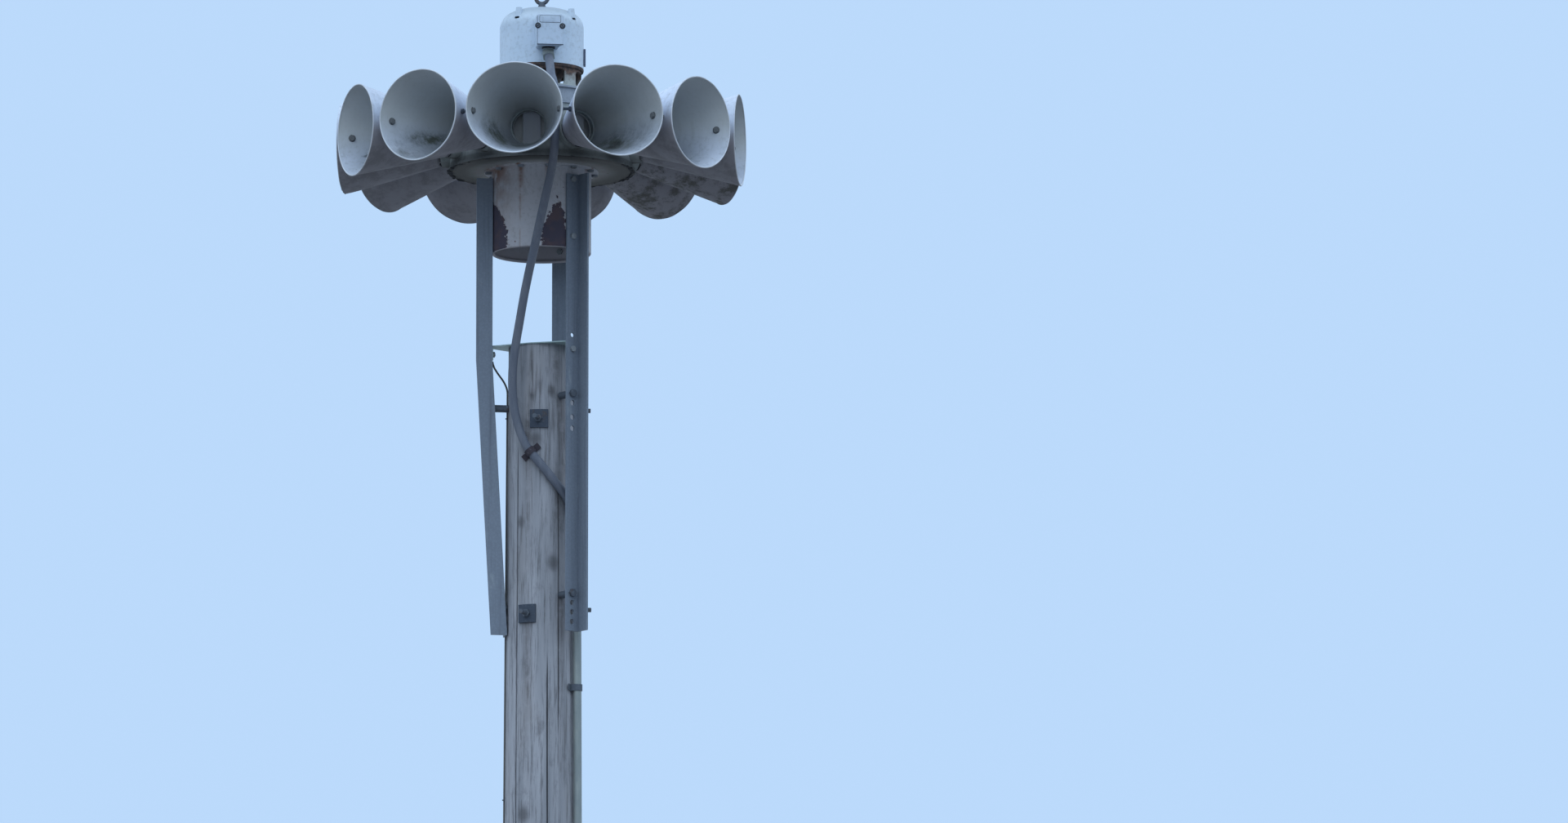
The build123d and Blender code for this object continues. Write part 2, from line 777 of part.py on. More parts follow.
with BuildPart() as motor_side_cover:
    cover_height = motor_foot + side_cover_above_flange + side_cover_height / 2
    with BuildSketch(facing_plane(side_cover_azimuth, 0, cover_height)):
        RectangleRounded(side_cover_width, side_cover_height, side_cover_corner)
    extrude(amount=motor_radius + side_cover_thickness)
    with BuildSketch(Plane.XY.offset(motor_foot)):
        Circle(motor_radius + seat_gap)
    extrude(amount=motor_body_height, mode=Mode.SUBTRACT)

# Lifting eye on the end bell
eye_foot = motor_top + end_bell_crown
eye_middle = eye_foot + eye_washer_thickness + eye_base_height + eye_ring_radius
with BuildPart() as lifting_eye:
    with BuildSketch(Plane.XY.offset(eye_foot)):
        Circle(eye_washer_radius)
    extrude(amount=eye_washer_thickness)
    with BuildSketch(Plane.XY.offset(eye_foot + eye_washer_thickness)):
        Circle(eye_base_radius)
    extrude(amount=eye_base_height, taper=eye_base_taper)
    with BuildSketch(Plane.XY.offset(eye_middle)):
        with Locations((eye_ring_radius, 0)):
            Circle(eye_rod_radius)
    revolve(axis=Axis((0, 0, eye_middle), (0, 1, 0)))

# Terminal box with its cover
box_middle = motor_foot + box_height_above_body
with BuildPart() as terminal_box:
    with BuildSketch(facing_plane(box_azimuth, box_foot_distance, box_middle)):
        Trapezoid(box_root_width, box_tall, 90 + box_root_slant)
        fillet(vertices(), box_corner_radius)
    with BuildSketch(facing_plane(box_azimuth, box_face_distance - box_cover_thickness, box_middle)):
        Trapezoid(box_face_width, box_tall, 90 + box_face_slant)
        fillet(vertices(), box_corner_radius)
    loft()
    with BuildSketch(Plane.XY.offset(motor_foot)):
        Circle(motor_radius + seat_gap)
    extrude(amount=motor_body_height + end_bell_height, mode=Mode.SUBTRACT)

with BuildPart() as terminal_box_cover:
    with BuildSketch(facing_plane(box_azimuth, box_face_distance - box_cover_thickness, box_middle)):
        Trapezoid(
            box_face_width + 2 * box_cover_overhang,
            box_tall + 2 * box_cover_overhang,
            90 + box_face_slant,
        )
        fillet(vertices(), box_corner_radius + box_cover_overhang)
    extrude(amount=box_cover_thickness)
    fillet(faces().sort_by(Axis((0, 0, 0), outward(box_azimuth))).last.edges(), box_cover_edge)

# Elbow fitting under the terminal box, turned outward
box_bottom = box_middle - box_tall / 2
elbow_height = box_bottom - fitting_hub_height - fitting_elbow_drop
elbow_point = point(box_azimuth, fitting_distance, elbow_height)
conduit_start_line = outward(box_azimuth) * sin(radians(fitting_turn)) - Vector(
    0, 0, cos(radians(fitting_turn))
)
with BuildPart() as conduit_fitting:
    with BuildSketch(Plane(origin=point(box_azimuth, fitting_distance, box_bottom))):
        Circle(fitting_hub_radius)
    extrude(amount=-fitting_hub_height)
    with BuildSketch(Plane(origin=point(box_azimuth, fitting_distance, box_bottom))):
        Circle(fitting_body_radius)
    extrude(amount=-fitting_hub_height - fitting_elbow_drop)
    with Locations(elbow_point):
        Sphere(fitting_body_radius)
    with BuildSketch(Plane(origin=elbow_point, z_dir=conduit_start_line)):
        Circle(fitting_body_radius)
    extrude(amount=fitting_elbow_length)
    with BuildSketch(Plane(origin=elbow_point, z_dir=conduit_start_line)):
        RegularPolygon(radius=fitting_nut_width / 2, side_count=6, major_radius=False)
    extrude(amount=fitting_elbow_length)

# Flexible conduit from the fitting, between two horns, down to the rigid riser
riser_hug = coupling_radius + seat_gap
conduit_hug = conduit_dia / 2 + seat_gap
riser_top = pole_height - riser_drop
riser_start = point(riser_azimuth, pole_radius(riser_top) + riser_hug, riser_top)
riser_end_radius = pole_radius(riser_foot_height) + riser_hug
riser_end = point(riser_azimuth, riser_end_radius, riser_foot_height)
riser_line = (riser_end - riser_start).normalized()

route_polar = [
    (15.0, 236, 174),
    (15.0, 288, 147),
    (15.0, 327, 103),
    (15.0, 335, 40),
    (15.0, 334, -30),
    (14.6, 328, -88),
    (13.4, 308, -145),
    (10.5, 272, -214),
    (6.6, 238, -290),
    (2.0, 208, -362),
    (-4.0, 188, -438),
    (-9.6, 179, -512),
    (-14.8, 171, -585),
    (-20.7, 165, -658),
    (-26.1, 159, -734),
    (-28.4, 150, -808),
    (-27.2, 140, -873),
    (-22.0, 130, -930),
    (-13.5, 121, -978),
]
wrap_polar = [
    (-2.4, -1006),
    (9.0, -1034),
    (21.0, -1064),
    (33.5, -1093),
    (46.0, -1120),
    (58.5, -1151),
    (68.5, -1192),
]
wrap_half_step = 6.5
conduit_start = elbow_point + conduit_start_line * fitting_elbow_length
conduit_route = [conduit_start, conduit_start + conduit_start_line * conduit_dia]
for azimuth, distance, height in route_polar:
    conduit_route.append(point(azimuth, distance, horn_plane + height))
for azimuth, height in wrap_polar:
    hug = (pole_radius(horn_plane + height) + conduit_hug) / cos(radians(wrap_half_step))
    conduit_route.append(point(azimuth, hug, horn_plane + height))
conduit_route.append(riser_start - riser_line * 2 * conduit_dia)
conduit_route.append(riser_start)

with BuildPart() as flexible_conduit:
    with BuildLine():
        conduit_path = FilletPolyline(*conduit_route, radius=bend_radii(conduit_route))
    with BuildSketch(Plane(origin=conduit_path @ 0, z_dir=conduit_path % 0)):
        Circle(conduit_dia / 2)
    sweep()
print("conduit length", round(conduit_path.length, 1), "mm")
print("conduit bend radii", [round(radius) for radius in bend_radii(conduit_route)])

# Coupling and rigid riser down the pole
with BuildPart() as conduit_coupling:
    with BuildSketch(Plane(origin=riser_start, z_dir=riser_line)):
        Circle(coupling_radius)
    extrude(amount=coupling_length)

with BuildPart() as riser_conduit:
    with BuildSketch(Plane(origin=riser_start + riser_line * coupling_length, z_dir=riser_line)):
        Circle(conduit_dia / 2)
    extrude(amount=(riser_end - riser_start).length - coupling_length)


def saddle_strap(centre, pipe_line, azimuth, stand):
    """Two-footed strap over a pipe whose centre stands off the pole by a distance."""
    strap_plane = Plane(
        origin=centre - pipe_line * (strap_width / 2),
        x_dir=outward(azimuth).cross(pipe_line),
        z_dir=pipe_line,
    )
    inner = conduit_dia / 2 + strap_clearance
    outer = inner + strap_thickness
    foot = stand - 2 * seat_gap
    with BuildPart() as strap:
        with BuildSketch(strap_plane):
            Circle(outer)
            with Locations((0, -foot / 2)):
                Rectangle(2 * outer, foot)
            with Locations((0, strap_thickness / 2 - foot)):
                Rectangle(2 * (outer + strap_foot), strap_thickness)
            Circle(inner, mode=Mode.SUBTRACT)
            with Locations((0, -foot)):
                Rectangle(2 * inner, 2 * foot, mode=Mode.SUBTRACT)
            with Locations((0, -foot - outer / 2)):
                Rectangle(4 * outer, outer, mode=Mode.SUBTRACT)
        extrude(amount=strap_width)
    return strap.part


# Strap that holds the flexible conduit to the pole front
strap_run_start = conduit_route[strap_run]
strap_run_end = conduit_route[strap_run + 1]
strap_line = (strap_run_end - strap_run_start).normalized()
strap_centre = (strap_run_start + strap_run_end) * 0.5
strap_azimuth = degrees(atan2(strap_centre.X, -strap_centre.Y))
strap_stand = strap_centre.cross(Vector(0, 0, 1)).length - pole_radius(strap_centre.Z)
with BuildPart() as conduit_strap:
    add(saddle_strap(strap_centre, strap_line, strap_azimuth, strap_stand))

# Straps down the riser
riser_strap_parts = []
strap_height = riser_top - coupling_length - riser_first_strap
while strap_height > riser_last_strap_height:
    share = (riser_top - strap_height) / (riser_top - riser_foot_height)
    strap_at = riser_start + (riser_end - riser_start) * share
    riser_strap_parts.append(saddle_strap(strap_at, riser_line, riser_azimuth, riser_hug))
    strap_height -= riser_strap_spacing
with BuildPart() as riser_straps:
    add(riser_strap_parts)

# Ground wire from the left leg down the pole
wire_hug = ground_wire_dia / 2 + seat_gap
wire_top = pole_height - ground_wire_drop
wire_leg = leg_azimuths["leg_left"]
wire_start = leg_distance("leg_left", wire_top + ground_wire_rise) - wire_hug
wire_end = pole_radius(wire_top) + wire_hug
wire_route = []
for share in (0.0, 0.21, 0.45, 0.69, 1.0):
    ease = share**2 * (3 - 2 * share)
    wire_route.append(
        point(
            wire_leg + (ground_wire_azimuth - wire_leg) * ease,
            wire_start + (wire_end - wire_start) * ease,
            wire_top + ground_wire_rise * (1 - share),
        )
    )
wire_foot_radius = pole_radius(ground_wire_foot_height) + wire_hug
wire_route.append(point(ground_wire_azimuth, wire_foot_radius, ground_wire_foot_height))
with BuildPart() as ground_wire:
    with BuildLine():
        wire_path = FilletPolyline(*wire_route, radius=bend_radii(wire_route))
    with BuildSketch(Plane(origin=wire_path @ 0, z_dir=wire_path % 0)):
        Circle(ground_wire_dia / 2)
    sweep()

# Staples over the ground wire
staple_parts = []
staple_heights = [wire_top - drop for drop in first_staple_drops]
while staple_heights[-1] > staple_spacing:
    staple_heights.append(staple_heights[-1] - staple_spacing)
for height in staple_heights:
    with BuildPart() as staple:
        with BuildSketch(Plane.XY.offset(height)):
            with Locations(Location(point(ground_wire_azimuth, pole_radius(height) + wire_hug, 0))):
                Circle(ground_wire_dia / 2 + seat_gap + staple_wire_dia)
                Circle(ground_wire_dia / 2 + seat_gap, mode=Mode.SUBTRACT)
            Circle(pole_radius(height) + seat_gap, mode=Mode.SUBTRACT)
        extrude(amount=staple_wire_dia)
    staple_parts.append(staple.part)
with BuildPart() as ground_wire_staples:
    add(staple_parts)

# Labels and files
pole.part.label = "pole"
pole_cap_plate.part.label = "pole_cap_plate"
leg_bolts.part.label = "leg_bolts"
through_bolts.part.label = "through_bolts"
spacer_pipes.part.label = "spacer_pipes"
square_washers.part.label = "square_washers"
intake_drum.part.label = "intake_drum"
drum_flange_bolts.part.label = "drum_flange_bolts"
base_plate.part.label = "base_plate"
stator_ring.part.label = "stator_ring"
chopper_rotor.part.label = "chopper_rotor"
rotor_shaft.part.label = "rotor_shaft"
top_plate.part.label = "top_plate"
horn_link_bolts.part.label = "horn_link_bolts"
top_collar.part.label = "top_collar"
motor_pedestal.part.label = "motor_pedestal"
shaft_housing.part.label = "shaft_housing"
motor_flange.part.label = "motor_flange"
motor_body.part.label = "motor_body"
motor_end_bell.part.label = "motor_end_bell"
motor_side_cover.part.label = "motor_side_cover"
lifting_eye.part.label = "lifting_eye"
terminal_box.part.label = "terminal_box"
terminal_box_cover.part.label = "terminal_box_cover"
conduit_fitting.part.label = "conduit_fitting"
flexible_conduit.part.label = "flexible_conduit"
conduit_coupling.part.label = "conduit_coupling"
riser_conduit.part.label = "riser_conduit"
conduit_strap.part.label = "conduit_strap"
riser_straps.part.label = "riser_straps"
ground_wire.part.label = "ground_wire"
ground_wire_staples.part.label = "ground_wire_staples"

os.makedirs("parts", exist_ok=True)
export_step(pole.part, "parts/pole.step")
export_step(pole_cap_plate.part, "parts/pole_cap_plate.step")
export_step(leg_bolts.part, "parts/leg_bolts.step")
export_step(through_bolts.part, "parts/through_bolts.step")
export_step(spacer_pipes.part, "parts/spacer_pipes.step")
export_step(square_washers.part, "parts/square_washers.step")
export_step(intake_drum.part, "parts/intake_drum.step")
export_step(drum_flange_bolts.part, "parts/drum_flange_bolts.step")
export_step(base_plate.part, "parts/base_plate.step")
export_step(stator_ring.part, "parts/stator_ring.step")
export_step(chopper_rotor.part, "parts/chopper_rotor.step")
export_step(rotor_shaft.part, "parts/rotor_shaft.step")
export_step(top_plate.part, "parts/top_plate.step")
export_step(horn_link_bolts.part, "parts/horn_link_bolts.step")
export_step(top_collar.part, "parts/top_collar.step")
export_step(motor_pedestal.part, "parts/motor_pedestal.step")
export_step(shaft_housing.part, "parts/shaft_housing.step")
export_step(motor_flange.part, "parts/motor_flange.step")
export_step(motor_body.part, "parts/motor_body.step")
export_step(motor_end_bell.part, "parts/motor_end_bell.step")
export_step(motor_side_cover.part, "parts/motor_side_cover.step")
export_step(lifting_eye.part, "parts/lifting_eye.step")
export_step(terminal_box.part, "parts/terminal_box.step")
export_step(terminal_box_cover.part, "parts/terminal_box_cover.step")
export_step(conduit_fitting.part, "parts/conduit_fitting.step")
export_step(flexible_conduit.part, "parts/flexible_conduit.step")
export_step(conduit_coupling.part, "parts/conduit_coupling.step")
export_step(riser_conduit.part, "parts/riser_conduit.step")
export_step(conduit_strap.part, "parts/conduit_strap.step")
export_step(riser_straps.part, "parts/riser_straps.step")
export_step(ground_wire.part, "parts/ground_wire.step")
export_step(ground_wire_staples.part, "parts/ground_wire_staples.step")
for name, leg_part in legs.items():
    export_step(leg_part, f"parts/{name}.step")
for name, horn_part in horns.items():
    export_step(horn_part, f"parts/{name}.step")
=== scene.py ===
"""Looks of an outdoor warning siren on its wood pole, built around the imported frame.

Lengths are in metres, +Z is up, the front horn points along -Y, and azimuths are counted in
degrees from there towards +X. Each sub-assembly is a class that holds its sizes and makes its
own meshes, and each finish is a frozen dataclass that makes one node material.
"""

from __future__ import annotations

import json
import logging
import math
from dataclasses import dataclass, field
from enum import Enum
from typing import NamedTuple

import bmesh
import bpy
import numpy as np
from mathutils import Matrix, Vector


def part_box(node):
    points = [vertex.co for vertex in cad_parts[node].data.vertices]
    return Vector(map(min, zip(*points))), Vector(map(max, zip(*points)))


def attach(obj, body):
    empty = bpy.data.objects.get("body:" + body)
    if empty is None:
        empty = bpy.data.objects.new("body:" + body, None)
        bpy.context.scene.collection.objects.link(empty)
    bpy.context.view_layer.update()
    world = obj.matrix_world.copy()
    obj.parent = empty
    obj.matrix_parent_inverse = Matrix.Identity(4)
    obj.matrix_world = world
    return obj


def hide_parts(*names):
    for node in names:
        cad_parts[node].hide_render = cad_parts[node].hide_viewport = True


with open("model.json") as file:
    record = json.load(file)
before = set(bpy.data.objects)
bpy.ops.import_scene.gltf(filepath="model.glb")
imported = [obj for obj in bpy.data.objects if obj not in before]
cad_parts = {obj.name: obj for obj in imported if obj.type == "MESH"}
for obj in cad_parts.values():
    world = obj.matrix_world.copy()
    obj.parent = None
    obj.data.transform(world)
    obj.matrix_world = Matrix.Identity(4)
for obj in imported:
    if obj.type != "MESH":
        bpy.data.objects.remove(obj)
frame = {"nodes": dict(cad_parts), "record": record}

log = logging.getLogger("siren")

Color = tuple[float, float, float]
TURN = 2.0 * math.pi
UP = np.array([0.0, 0.0, 1.0])
# Rise of the motor's end bell above its shoulder.
BELL_CROWN = 0.011
# Rows of a slab's section: share of its outline, and rise between its back and its face.
BEVELLED = ((0.0, 0.0), (1.0, 0.0), (1.0, 0.6), (0.97, 1.0), (0.0, 1.0))
SQUARE_EDGED = ((0.0, 0.0), (1.0, 0.0), (1.0, 1.0), (0.0, 1.0))


def outward(azimuth: float) -> np.ndarray:
    """Unit vector that points outward at an azimuth: (sin a, -cos a, 0)."""
    angle = math.radians(azimuth)
    return np.array([math.sin(angle), -math.cos(angle), 0.0])


def around(azimuth: float) -> np.ndarray:
    """Unit vector at right angles to an azimuth, towards larger ones: (cos a, sin a, 0)."""
    angle = math.radians(azimuth)
    return np.array([math.cos(angle), math.sin(angle), 0.0])


def azimuths(count: int, first: float = 0.0) -> list[float]:
    """Azimuths of an even ring, from the first one on."""
    return [first + 360.0 / count * index for index in range(count)]


def turn_off(azimuth: np.ndarray, middle: float | np.ndarray) -> np.ndarray:
    """Degrees from a middle to an azimuth, the shorter way round, between -180 and 180."""
    return (azimuth - middle + 180.0) % 360.0 - 180.0


def ring_angles(count: int) -> np.ndarray:
    """Angles of one full turn, without the repeated last one."""
    return np.arange(count) * TURN / count


def smooth_step(values: np.ndarray, low: float, high: float) -> np.ndarray:
    """Smooth rise from 0 at low to 1 at high: t squared times (3 - 2t), t clipped to 0..1."""
    share = np.clip((values - low) / (high - low), 0.0, 1.0)
    return share * share * (3.0 - 2.0 * share)


def ripples(seed: int, waves: int, *axes: np.ndarray) -> np.ndarray:
    """Soft unevenness between -1 and 1: a mean of sine waves with seeded phases.

    Each wave is sin(sum of k_i times axis_i plus a phase), with the k_i drawn once per wave.

    Args:
        seed: Seed of the draws, so that the same surface comes out each run.
        waves: Number of waves.
        axes: Coordinates, already scaled so that 1 is about one ripple.

    Returns:
        Array of the axes' common shape.
    """
    draws = np.random.default_rng(seed)
    total = 0.0
    for _ in range(waves):
        phase = draws.uniform(0.0, TURN)
        turns = draws.uniform(-1.6, 1.6, len(axes))
        total = total + np.sin(sum(TURN * k * axis for k, axis in zip(turns, axes)) + phase)
    return total / waves


def lattice_faces(rows: int, columns: int, closed_rows: bool) -> np.ndarray:
    """Quads between the points of a grid whose columns close into a ring.

    Args:
        rows: Number of rows.
        columns: Number of columns.
        closed_rows: Whether the last row joins the first one too.

    Returns:
        Array of quads by 4, numbers of points counted row by row.
    """
    row_count = rows if closed_rows else rows - 1
    row, column = np.meshgrid(np.arange(row_count), np.arange(columns), indexing="ij")
    next_row, next_column = (row + 1) % rows, (column + 1) % columns
    corners = (
        row * columns + column,
        row * columns + next_column,
        next_row * columns + next_column,
        next_row * columns + column,
    )
    return np.stack(corners, axis=-1).reshape(-1, 4)


@dataclass
class Shape:
    """Surfaces gathered into one mesh, with marks that its finish reads.

    A surface is a grid of points, a function of two parameters, and its columns close into a
    ring. Marks are one number for each point, such as how far inside a horn it lies.
    """

    name: str
    points: list[np.ndarray] = field(default_factory=list)
    quads: list[np.ndarray] = field(default_factory=list)
    marks: dict[str, list[np.ndarray]] = field(default_factory=dict)
    count: int = 0

    def add(
        self, grid: np.ndarray, closed_rows: bool = False, marks: dict[str, np.ndarray] | None = None
    ) -> Shape:
        """Adds one grid of points.

        Args:
            grid: Array of rows by columns by 3.
            closed_rows: Whether the last row joins the first one.
            marks: Arrays of rows by columns, one for each mark.

        Returns:
            The shape itself.
        """
        rows, columns = grid.shape[:2]
        self.points.append(grid.reshape(-1, 3))
        self.quads.append(lattice_faces(rows, columns, closed_rows) + self.count)
        self.count += rows * columns
        for mark, values in (marks or {}).items():
            self.marks.setdefault(mark, []).append(np.broadcast_to(values, (rows, columns)).ravel())
        return self

    def build(
        self, finish: bpy.types.Material, slot: str, stands_for: tuple[str, ...] = (), sharp: float = 35.0
    ) -> bpy.types.Object:
        """Makes the mesh object, merged, facing outwards and riding on the part's one body.

        Args:
            finish: Material of the piece.
            slot: The record's material slot. Not used.
            stands_for: CAD nodes that the piece replaces.
            sharp: Edges that turn by more than this many degrees stay sharp.

        Returns:
            The new object.
        """
        mesh = bpy.data.meshes.new(self.name)
        points = np.vstack(self.points)
        quads = np.vstack(self.quads)
        mesh.vertices.add(len(points))
        mesh.vertices.foreach_set("co", points.astype(np.float32).ravel())
        mesh.loops.add(quads.size)
        mesh.loops.foreach_set("vertex_index", quads.astype(np.int32).ravel())
        mesh.polygons.add(len(quads))
        mesh.polygons.foreach_set("loop_start", np.arange(0, quads.size, 4, dtype=np.int32))
        mesh.update(calc_edges=True)
        for mark, values in self.marks.items():
            attribute = mesh.attributes.new(mark, "FLOAT", "POINT")
            attribute.data.foreach_set("value", np.concatenate(values).astype(np.float32))
        piece = bpy.data.objects.new(self.name, mesh)
        bpy.context.scene.collection.objects.link(piece)
        body = bmesh.new()
        body.from_mesh(mesh)
        bmesh.ops.remove_doubles(body, verts=body.verts, dist=1e-6)
        bmesh.ops.recalc_face_normals(body, faces=body.faces)
        body.to_mesh(mesh)
        body.free()
        mesh.shade_smooth()
        mesh.set_sharp_from_angle(angle=math.radians(sharp))
        mesh.materials.append(finish)
        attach(piece, "root")
        if stands_for:
            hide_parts(*stands_for)
        log.info("%s: %d points", self.name, len(mesh.vertices))
        return piece


def turned(
    profile: np.ndarray, count: int, origin: np.ndarray, axis: np.ndarray, side: np.ndarray
) -> np.ndarray:
    """Surface of revolution: origin + axis times s + radius times (side cos a + third sin a).

    Args:
        profile: Array of pairs (s along the axis, radius).
        count: Points around.
        origin: Point on the axis where s is 0.
        axis: Unit vector of the axis.
        side: Unit vector where the angle a is 0.

    Returns:
        Grid of profile points by count by 3.
    """
    angles = ring_angles(count)[None, :, None]
    third = np.cross(axis, side)
    radial = np.cos(angles) * side + np.sin(angles) * third
    return origin + profile[:, 0, None, None] * axis + profile[:, 1, None, None] * radial


def capped(*profile: tuple[float, float]) -> np.ndarray:
    """Profile of a solid of revolution, with both ends brought in to the axis."""
    return np.array([(profile[0][0], 0.0), *profile, (profile[-1][0], 0.0)])


def blunt_outline(width: float, tall: float, power: float, count: int = 48) -> np.ndarray:
    """Rounded rectangle: half size times sign(cos a) |cos a|^power, and the same with sin.

    Args:
        width: Full width.
        tall: Full height.
        power: 1 for an ellipse, and towards 0 for square corners.
        count: Points around.

    Returns:
        Array of pairs (across, up).
    """
    turn = ring_angles(count)
    x = width / 2 * np.sign(np.cos(turn)) * np.abs(np.cos(turn)) ** power
    y = tall / 2 * np.sign(np.sin(turn)) * np.abs(np.sin(turn)) ** power
    return np.stack((x, y), axis=-1)


def slab(
    outline: np.ndarray, middle: np.ndarray, azimuth: float, low: float, high: float,
    section: tuple[tuple[float, float], ...] = BEVELLED,
) -> np.ndarray:
    """Closed slab that faces an azimuth: middle + share times the outline + rise times outward.

    Args:
        outline: Pairs (across, up).
        middle: Point that the outline lies around.
        azimuth: Azimuth that the slab faces.
        low: Distance of its back from the middle, outward.
        high: Distance of its face.
        section: Share of the outline, and rise between back and face, of each row.

    Returns:
        Grid of rows by points by 3.
    """
    flat = outline[:, :1] * around(azimuth) + outline[:, 1:] * UP
    rows = [middle + share * flat + (low + rise * (high - low)) * outward(azimuth) for share, rise in section]
    return np.array(rows)


class Recipe:
    """A node material built step by step, with constants on the shader's own sockets."""

    def __init__(self, name: str, roughness: float, metallic: float = 0.0, gloss: float = 0.5) -> None:
        """Starts from Blender's own shader and reads the piece's Object coordinates.

        Args:
            name: Name of the material.
            roughness: Roughness of the surface, before any pattern.
            metallic: Share of bare metal.
            gloss: Specular level, low on chalky paint and dirt.
        """
        self.material = bpy.data.materials.new(name)
        self.material.use_nodes = True
        self.tree = self.material.node_tree
        self.shader = self.tree.nodes["Principled BSDF"]
        self.shader.inputs["Roughness"].default_value = roughness
        self.shader.inputs["Metallic"].default_value = metallic
        self.shader.inputs["Specular IOR Level"].default_value = gloss
        self.place = self.tree.nodes.new("ShaderNodeTexCoord").outputs["Object"]

    def node(self, kind: str, **settings: object) -> bpy.types.Node:
        """Adds a node.

        Args:
            kind: Blender's name of the node type.
            settings: Values of the node's own properties.

        Returns:
            The new node.
        """
        made = self.tree.nodes.new(kind)
        for key, value in settings.items():
            setattr(made, key, value)
        return made

    def feed(self, socket: bpy.types.NodeSocket, value: object) -> None:
        """Links a socket to another one, or sets it to a constant.

        Args:
            socket: Input that is fed.
            value: Output socket, colour or number.
        """
        if isinstance(value, bpy.types.NodeSocket):
            self.tree.links.new(value, socket)
        elif isinstance(value, tuple) and len(value) == 3 and socket.type == "RGBA":
            socket.default_value = (*value, 1.0)
        else:
            socket.default_value = value

    def scaled(self, x: float, y: float, z: float) -> bpy.types.NodeSocket:
        """Object coordinates multiplied on each axis.

        Args:
            x: Factor across.
            y: Factor in depth.
            z: Factor upwards.

        Returns:
            Vector socket.
        """
        mapping = self.node("ShaderNodeMapping")
        self.feed(mapping.inputs["Vector"], self.place)
        mapping.inputs["Scale"].default_value = (x, y, z)
        return mapping.outputs["Vector"]

    def noise(
        self,
        scale: float,
        detail: float = 3.0,
        roughness: float = 0.55,
        vector: bpy.types.NodeSocket | None = None,
    ) -> bpy.types.NodeSocket:
        """Cloudy noise between 0 and 1.

        Args:
            scale: Clouds to a metre.
            detail: Octaves of finer noise.
            roughness: Weight of the finer octaves.
            vector: Coordinates, if other than the piece's own.

        Returns:
            Value socket.
        """
        made = self.node("ShaderNodeTexNoise")
        self.feed(made.inputs["Vector"], vector or self.place)
        self.feed(made.inputs["Scale"], scale)
        self.feed(made.inputs["Detail"], detail)
        self.feed(made.inputs["Roughness"], roughness)
        return made.outputs[0]

    def streaky(self, across: float, upward: float, detail: float, roughness: float) -> bpy.types.NodeSocket:
        """Noise drawn out up the part, with its scales across and upward."""
        return self.noise(1.0, detail, roughness, self.scaled(across, across, upward))

    def cells(self, scale: float) -> bpy.types.NodeSocket:
        """Distance to the nearest of scattered points.

        Args:
            scale: Points to a metre.

        Returns:
            Value socket.
        """
        made = self.node("ShaderNodeTexVoronoi")
        self.feed(made.inputs["Vector"], self.place)
        self.feed(made.inputs["Scale"], scale)
        return made.outputs["Distance"]

    def mark(self, name: str) -> bpy.types.NodeSocket:
        """A mark that the mesh carries for each point."""
        return self.node("ShaderNodeAttribute", attribute_name=name).outputs["Fac"]

    def step(self, value: object, low: float, high: float) -> bpy.types.NodeSocket:
        """Smooth rise from 0 at low to 1 at high, also where high is the smaller one.

        Args:
            value: Value that rises.
            low: Where the result is 0.
            high: Where the result is 1.

        Returns:
            Value socket.
        """
        made = self.node("ShaderNodeMapRange", interpolation_type="SMOOTHSTEP")
        self.feed(made.inputs["Value"], value)
        made.inputs["From Min"].default_value = low
        made.inputs["From Max"].default_value = high
        return made.outputs["Result"]

    def math(self, operation: str, first: object, second: object) -> bpy.types.NodeSocket:
        """Arithmetic on two values.

        Args:
            operation: Blender's name of the operation.
            first: First value or socket.
            second: Second value or socket.

        Returns:
            Value socket.
        """
        made = self.node("ShaderNodeMath", operation=operation)
        self.feed(made.inputs[0], first)
        self.feed(made.inputs[1], second)
        return made.outputs[0]

    def product(self, *values: object) -> object:
        """Product of several values.

        Args:
            values: Numbers or sockets.

        Returns:
            Value socket, or the value itself if it is the only one.
        """
        total = values[0]
        for value in values[1:]:
            total = self.math("MULTIPLY", total, value)
        return total

    def plus(self, base: object, pattern: object, share: float) -> bpy.types.NodeSocket:
        """A base plus a share of a pattern."""
        return self.math("ADD", base, self.product(pattern, share))

    def layer(self, under: object, over: object, *shares: object) -> bpy.types.NodeSocket:
        """One colour over another.

        Args:
            under: Colour below.
            over: Colour laid over it.
            shares: Values whose product is the share of the upper colour.

        Returns:
            Colour socket.
        """
        made = self.node("ShaderNodeMix", data_type="RGBA")
        self.feed(made.inputs[0], self.product(*shares))
        self.feed(made.inputs[6], under)
        self.feed(made.inputs[7], over)
        return made.outputs[2]

    def facing(self, low: float, high: float) -> bpy.types.NodeSocket:
        """Rise with the upward part of the surface's normal.

        Args:
            low: Upward part where the result is 0.
            high: Upward part where the result is 1.

        Returns:
            Value socket.
        """
        normal = self.node("ShaderNodeNewGeometry").outputs["Normal"]
        split = self.node("ShaderNodeSeparateXYZ")
        self.feed(split.inputs[0], normal)
        return self.step(split.outputs["Z"], low, high)

    def from_axis(self) -> bpy.types.NodeSocket:
        """Distance from the part's upright axis.

        Returns:
            Value socket, in metres.
        """
        length = self.node("ShaderNodeVectorMath", operation="LENGTH")
        self.feed(length.inputs[0], self.scaled(1.0, 1.0, 0.0))
        return length.outputs["Value"]

    def height(self) -> bpy.types.NodeSocket:
        """Height above the ground.

        Returns:
            Value socket, in metres.
        """
        split = self.node("ShaderNodeSeparateXYZ")
        self.feed(split.inputs[0], self.place)
        return split.outputs["Z"]

